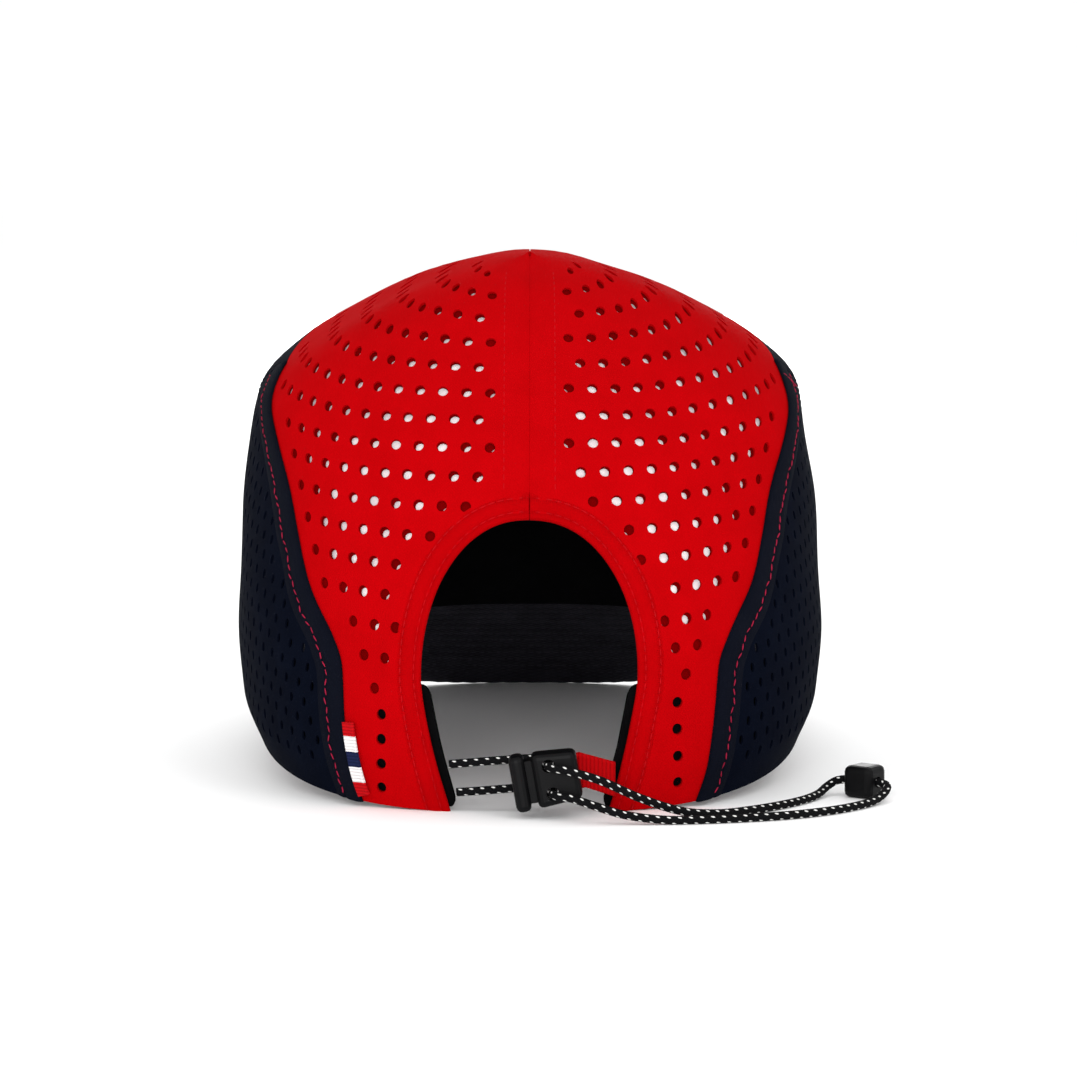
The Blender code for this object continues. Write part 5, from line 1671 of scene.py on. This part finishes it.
@dataclass
class Brim:
    """Curved brim with rows of stitches on both faces and a bound edge."""

    kit: Kit
    reach: float = 54.0 * MM
    half_width: float = 78.0 * MM
    wall: float = 2.4 * MM
    bulge: float = 1.6 * MM
    edge_lift: float = 3.3
    roundness: float = 2.3
    gap: float = 0.4 * MM
    rows: int = 12
    binding: float = 6.5 * MM
    groove: float = 0.22 * MM
    columns: int = 150

    def lines(self, share: np.ndarray) -> tuple[np.ndarray, np.ndarray, np.ndarray]:
        """Lower rear edge, upper rear edge and front edge of the brim for shares from -1 to 1."""
        crown = self.kit.crown
        end = float(crown.seam_turn(FRONT_SEAM, 0.0))
        turn = math.pi - share * (math.pi - end)
        low = crown.point(turn, np.zeros_like(turn), np.full_like(turn, -self.gap), even=True)
        high = crown.point(turn, np.full_like(turn, self.wall), np.full_like(turn, -self.gap), even=True)
        corner = crown.point(np.array([end]), np.zeros(1), np.zeros(1), even=True)[0]
        tip = crown.to_world(np.array([0.0, crown.front_depth, 0.0]))[1] + self.reach
        sweep = share * math.pi / 2.0
        out = np.abs(np.cos(sweep)) ** (2.0 / self.roundness)
        side = np.sign(share) * np.abs(np.sin(sweep)) ** (2.0 / self.roundness)
        y = corner[1] + self.gap + (tip - corner[1] - self.gap) * out
        edge = np.column_stack([self.half_width * side, y, corner[2] * np.abs(side) ** self.edge_lift])
        return low, high, edge

    def face(self, share: np.ndarray, out: np.ndarray, upper: bool) -> np.ndarray:
        """Places on one face of the brim.

        Args:
            share: Place along the brim, from -1 to 1.
            out: Place from the crown, 0, to the front edge, 1.
            upper: The upper face, or else the lower one.

        Returns:
            World places, with the stitch grooves and the bound edge.
        """
        low, high, edge = self.lines(share)
        start = high if upper else low
        end = edge + np.array([0.0, 0.0, self.wall if upper else 0.0])
        length = np.linalg.norm(edge - low, axis=1)
        bulge = self.bulge * np.minimum(1.0, length / self.reach) * np.sin(math.pi * out)
        points = start + (end - start) * out[:, None]
        points[:, 2] += bulge
        bound = 1.0 - self.binding / np.maximum(length, self.binding * 1.5)
        row = np.clip(out / bound, 0.0, 1.0) * self.rows
        inside = out < bound
        groove = self.groove * np.exp(-((row - np.rint(row)) / 0.22) ** 2) * inside
        puff = -0.35 * MM * np.sin(math.pi * np.clip((out - bound) / (1.0 - bound), 0.0, 1.0)) ** 0.5
        pucker = 0.10 * MM * np.sin(share * 330.0) * np.where(inside, 0.4, 1.0)
        sink = groove + np.where(inside, 0.0, puff) + pucker * soft_step(out, 0.0, 0.15)
        points[:, 2] += np.where(upper, -sink, sink)
        return points

    def build(self) -> None:
        """Builds the brim and its stitches."""
        across = self.rows * 6 + 8
        nose = 5

        def place(along: np.ndarray, around: np.ndarray) -> np.ndarray:
            """Places round the brim's section, out along its lower face and back along its upper one."""
            share = 2.0 * along - 1.0
            count = 2 * across + nose
            step = np.rint(around * count).astype(int) % count
            points = np.empty((len(along), 3))
            lower = step < across
            upper = step >= across + nose
            tip = ~lower & ~upper
            out = step / (across - 1)
            points[lower] = self.face(share[lower], out[lower], upper=False)
            out = (count - 1 - step) / (across - 1)
            points[upper] = self.face(share[upper], out[upper], upper=True)
            under = self.face(share[tip], np.ones(tip.sum()), upper=False)
            over = self.face(share[tip], np.ones(tip.sum()), upper=True)
            angle = math.pi * (step[tip] - across + 1) / (nose + 1)
            low, _, edge = self.lines(share[tip])
            forward = (edge - low) / np.maximum(np.linalg.norm(edge - low, axis=1, keepdims=True), MM)
            middle = (under + over) / 2.0
            points[tip] = (middle - (over - under) / 2.0 * np.cos(angle)[:, None]
                           + forward * (np.sin(angle) * self.wall / 3.0)[:, None])
            return off_the_floor(points)

        made = Bench.sheet("brim_cloth", self.columns + 1, 2 * across + nose + 1, place, closed=True)
        Bench.smooth(made, 60.0)
        made.data.materials.append(self.kit.finishes.navy)
        made.data.materials.append(self.kit.finishes.brim_under)
        for face in made.data.polygons:
            face.material_index = 1 if face.normal.z < 0.0 else 0
        self.kit.hand_over(made, self.kit.finishes.navy, "navy_cloth", replaced=("brim",))
        for upper, word in ((True, "top"), (False, "under")):
            self.build_rows(upper, word)

    def build_rows(self, upper: bool, word: str) -> None:
        """Stitches in the grooves of one face."""
        share = np.linspace(-0.97, 0.97, 400)
        low, _, edge = self.lines(share)
        length = np.linalg.norm(edge - low, axis=1)
        bound = 1.0 - self.binding / np.maximum(length, self.binding * 1.5)
        origins, normals = [], []
        for row in range(1, self.rows + 1):
            line = even_line(self.face(share, bound * row / self.rows * 0.999, upper), 2.6 * MM)
            origins.append(line)
            slope = np.array([0.0, 0.5, 0.86])
            normals.append(np.repeat((slope if upper else -slope)[None], len(line), axis=0))
        rows = [thread_row(f"row_{i}", line, normal, 1.9 * MM, 0.38 * MM)
                for i, (line, normal) in enumerate(zip(origins, normals))]
        Bench.take(rows[0])
        for other in rows[1:]:
            other.select_set(True)
        bpy.ops.object.join()
        made = rows[0]
        made.name = f"brim_stitches_{word}"
        thread = self.kit.finishes.dark_thread if upper else self.kit.finishes.under_thread
        self.kit.hand_over(made, thread, "navy_cloth")


# Route of the elastic cord in millimetres round the middle of the crown: from the -X arm through the
# lock's upper hole, over the floor to the toggle, and back through the lower hole to the same arm.
CORD_ROUTE = (
    (-22.0, -94.1, 13.0), (-15.0, -94.1, 13.6), (-7.0, -94.1, 14.2), (0.3, -94.4, 14.7),
    (3.7, -95.7, 14.75), (5.1, -99.0, 14.75), (5.1, -103.8, 14.75), (5.1, -108.6, 14.75),
    (6.5, -112.0, 14.7), (9.9, -113.5, 14.4), (19.0, -114.0, 11.8), (29.9, -112.8, 6.8),
    (40.9, -109.2, 2.7), (50.6, -104.8, 1.25), (60.4, -98.8, 1.2), (69.2, -90.4, 1.2),
    (75.5, -82.1, 1.2), (79.8, -74.5, 1.5), (82.7, -68.6, 2.7), (85.6, -66.4, 4.0),
    (89.4, -67.4, 4.5), (93.0, -70.0, 4.5), (96.6, -72.6, 4.5), (98.8, -75.7, 4.0),
    (97.9, -79.6, 2.7), (94.8, -85.0, 1.5), (89.5, -92.1, 1.2), (81.7, -99.9, 1.2),
    (71.9, -106.3, 1.2), (60.6, -110.8, 1.2), (48.9, -113.8, 1.2), (37.0, -115.4, 1.3),
    (26.0, -115.4, 2.6), (17.5, -114.6, 5.0), (11.3, -113.3, 6.8), (7.8, -112.0, 7.1),
    (6.4, -108.6, 7.15), (6.4, -103.8, 7.15), (6.4, -99.0, 7.15), (5.0, -95.7, 7.1),
    (1.6, -94.4, 6.9), (-6.0, -94.1, 6.3), (-13.5, -94.1, 5.7), (-20.0, -94.1, 5.3),
)


@dataclass
class ElasticCord:
    """Braided elastic cord that runs through the lock and lies on the floor."""

    kit: Kit
    diameter: float = 2.4 * MM
    spacing: float = 0.4 * MM
    sides: int = 20
    curve_steps: int = 24
    lay: float = 2.2 * MM
    path_step: int = 6

    def line(self) -> np.ndarray:
        """Evenly spaced points on one smooth curve through the route."""
        points = self.kit.world(np.array(CORD_ROUTE))
        padded = np.concatenate([2.0 * points[:1] - points[1:2], points, 2.0 * points[-1:] - points[-2:-1]])
        fine = []
        for i in range(1, len(padded) - 2):
            before, start, end, after = padded[i - 1:i + 3]
            for t in np.linspace(0.0, 1.0, self.curve_steps, endpoint=False):
                fine.append(0.5 * (2.0 * start + (end - before) * t
                                   + (2.0 * before - 5.0 * start + 4.0 * end - after) * t**2
                                   + (3.0 * start - before - 3.0 * end + after) * t**3))
        return even_line(np.array(fine + [points[-1]]), self.spacing)

    def build(self, toggle: bpy.types.Object) -> None:
        """Args:
            toggle: The piece that hangs on the cord. Not used.
        """
        line = self.line()
        steps = np.linalg.norm(np.diff(line, axis=0), axis=1)
        along = np.concatenate([[0.0], np.cumsum(steps)])
        ways = tangents(line)
        up = np.array([0.0, 0.0, 1.0])
        beside = np.cross(ways, up)
        beside /= np.linalg.norm(beside, axis=1, keepdims=True)
        above = np.cross(beside, ways)
        made = Bench.grid("elastic_cord_braid", len(line), self.sides + 1)
        shares = Bench.points(made)
        i = nearest(shares[:, 0], len(line))
        angle = 2.0 * math.pi * shares[:, 1]
        twist = 2.0 * math.pi * along[i] / self.lay
        plait = np.cos(4.0 * angle + twist) * np.cos(4.0 * angle - twist)
        radius = self.diameter / 2.0 * (0.965 + 0.035 * plait)
        around = np.cos(angle)[:, None] * beside[i] + np.sin(angle)[:, None] * above[i]
        Bench.set_points(made, line[i] + radius[:, None] * around)
        Bench.set_uv(made, np.column_stack([along[i], shares[:, 1] * math.pi * self.diameter]))
        Bench.close(made)
        Bench.smooth(made, 60.0)
        self.kit.hand_over(made, self.kit.finishes.braid, "elastic", replaced=("elastic_cord",))


@dataclass
class CordLock:
    """Cord lock, its ribbon and the toggle."""

    kit: Kit
    corner: tuple[float, float, float] = (1.4, -103.8, 10.2)
    lean: float = math.radians(10.0)
    ribbon_end_height: float = 9.6 * MM
    ribbon_inset: float = 1.0 * MM
    ribbon_fold: float = 1.1 * MM

    def dress(self, node: str, finish: bpy.types.Material) -> bpy.types.Object:
        """Gives a node of the frame a better material."""
        made = FRAME["nodes"][node]
        for slot in made.material_slots:
            slot.material = finish
        return made

    def build(self) -> bpy.types.Object:
        """Dresses the lock and the toggle, and builds the ribbon.

        Returns:
            The toggle.
        """
        self.dress("cord_lock_body", self.kit.finishes.plastic)
        self.dress("cord_lock_button", self.kit.finishes.plastic)
        self.build_ribbon()
        return self.dress("cord_toggle", self.kit.finishes.plastic)

    def build_ribbon(self) -> None:
        """Red ribbon loop with raised edges, from the post in the lock's corner to the +X arm."""
        crown = self.kit.crown
        bend = np.array([(13.1, 2.55), (10.65, 2.55), (10.37, 2.67), (10.25, 2.95), (10.25, 4.9),
                         (10.37, 5.18), (10.65, 5.3), (13.1, 5.3)])
        across, rise = math.cos(self.lean), math.sin(self.lean)
        turned = np.stack([across * bend[:, 0], bend[:, 1], rise * bend[:, 0]], axis=1)
        height = np.array([self.ribbon_end_height])
        turn = crown.turn_from_across(crown.arch_reach(height), height)
        arm = crown.point(turn, height, np.zeros(1), even=True) - np.array([[self.ribbon_inset, 0.0, 0.0]])
        places = np.concatenate([arm - np.array([[0.0, self.ribbon_fold, 0.0]]),
                                 self.kit.world(turned + np.array(self.corner)), arm])
        ups = np.tile([-rise, 0.0, across], (len(places), 1))
        ups[[0, -1]] = (0.0, 0.0, 1.0)
        steps = np.diff(places[:, :2], axis=0)
        steps /= np.linalg.norm(steps, axis=1)[:, None]
        sides = np.stack([-steps[:, 1], steps[:, 0]], axis=1)
        mitres = np.concatenate([sides[:1], sides[:-1] + sides[1:], sides[-1:]])
        mitres /= np.linalg.norm(mitres, axis=1)[:, None]
        mitres /= np.sum(mitres * np.concatenate([sides[:1], sides]), axis=1)[:, None]
        outs = np.concatenate([mitres, np.zeros((len(places), 1))], axis=1)
        half = [(-4.7, -0.25), (-4.7, 0.25), (-4.45, 0.4), (-3.9, 0.4), (-3.6, 0.28), (3.6, 0.28), (3.9, 0.4),
                (4.45, 0.4)]
        loop = MM * np.array(half + [(-up, -out) for up, out in half] + half[:1])

        def place(along: np.ndarray, around: np.ndarray) -> np.ndarray:
            """Places of the ribbon's points."""
            i, j = nearest(along, len(places)), nearest(around, len(loop))
            return places[i] + ups[i] * loop[j, :1] + outs[i] * loop[j, 1:]

        made = Bench.sheet("red_ribbon_loop", len(places), len(loop), place, closed=True)
        Bench.smooth(made, 40.0)
        self.kit.hand_over(made, self.kit.finishes.ribbon, "red_ribbon", replaced=("lock_ribbon",))


@dataclass
class Studio:
    """Floor, soft lights and the camera behind the cap."""

    kit: Kit
    distance: float = 1.5
    elevation: float = math.radians(6.7)
    aim: tuple[float, float, float] = (2.46 * MM, 0.0, 64.0 * MM)
    lens: float = 173.0
    floor_reach: float = 4.0
    key_power: float = 8.0
    fill_power: float = 4.5
    top_power: float = 5.0
    front_power: float = 12.0
    low_power: float = 5.5
    sky: float = 1.0

    def build_camera(self) -> None:
        """Camera at the photo's angle."""
        aim = Vector(self.aim) + Vector((0.0, self.kit.crown.middle, 0.0))
        back = Vector((0.0, -math.cos(self.elevation), math.sin(self.elevation)))
        bpy.ops.object.camera_add(location=aim + self.distance * back)
        camera = bpy.context.object
        camera.rotation_euler = back.to_track_quat("Z", "Y").to_euler()
        camera.data.lens = self.lens
        camera.data.sensor_width = 36.0
        bpy.context.scene.camera = camera

    def build_floor(self) -> None:
        """Pale floor that curves up behind the cap."""
        bpy.ops.mesh.primitive_plane_add(size=2.0 * self.floor_reach)
        floor = Bench.named("floor")
        with Bench.editing(floor, everything=False):
            bpy.ops.mesh.select_all(action="DESELECT")
        for edge in floor.data.edges:
            ends = [floor.data.vertices[i].co.y for i in edge.vertices]
            edge.select = min(ends) > 0.0
        with Bench.editing(floor, everything=False):
            bpy.ops.mesh.extrude_region_move(TRANSFORM_OT_translate={"value": (0.0, 0.0, 3.0)})
        Bench.apply(floor, "BEVEL", width=1.5, segments=24, limit_method="ANGLE")
        Bench.smooth(floor, 60.0)
        paper = bpy.data.materials.new("pale_paper")
        paper.use_nodes = True
        shader = paper.node_tree.nodes["Principled BSDF"]
        shader.inputs["Base Color"].default_value = (0.96, 0.96, 0.96, 1.0)
        shader.inputs["Roughness"].default_value = 0.9
        floor.data.materials.append(paper)

    def lamp(self, name: str, place: tuple[float, float, float], size: float, power: float) -> None:
        """Large soft lamp that looks at the cap."""
        bpy.ops.object.light_add(type="AREA", location=place)
        lamp = bpy.context.object
        lamp.name = name
        lamp.data.size = size
        lamp.data.energy = power
        lamp.rotation_euler = (Vector(place) - Vector(self.aim)).to_track_quat("Z", "Y").to_euler()

    def build(self) -> None:
        """Sets the stage."""
        self.build_camera()
        self.build_floor()
        self.lamp("key", (1.1, -1.5, 1.6), 1.2, self.key_power)
        self.lamp("fill", (-1.5, -1.2, 0.9), 1.4, self.fill_power)
        self.lamp("top", (0.0, 0.3, 2.0), 1.6, self.top_power)
        self.lamp("front", (0.0, 1.7, 0.25), 0.9, self.front_power)
        self.lamp("low", (0.0, -1.1, 0.22), 0.5, self.low_power)
        world = bpy.data.worlds.new("studio")
        world.use_nodes = True
        world.node_tree.nodes["Background"].inputs["Color"].default_value = (1.0, 1.0, 1.0, 1.0)
        world.node_tree.nodes["Background"].inputs["Strength"].default_value = self.sky
        bpy.context.scene.world = world
        bpy.context.scene.view_settings.view_transform = "Standard"


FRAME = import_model()


def main() -> None:
    """Builds the looks in order."""
    logging.basicConfig(level=logging.INFO, format="%(name)s: %(message)s")
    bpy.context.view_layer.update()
    toggle_low, toggle_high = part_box("cord_toggle")
    toggle_from_middle = -70.0 * MM
    middle = (toggle_low[1] + toggle_high[1]) / 2.0 - toggle_from_middle
    kit = Kit(crown=Crown(middle=float(middle)), finishes=Finishes())
    Studio(kit).build()
    toggle = CordLock(kit).build()
    ElasticCord(kit).build(toggle)
    cloth = CrownCloth(kit)
    cloth.build()
    InnerLayers(kit, cloth.rear).build()
    Brim(kit).build()


if __name__ == "__main__":
    main()
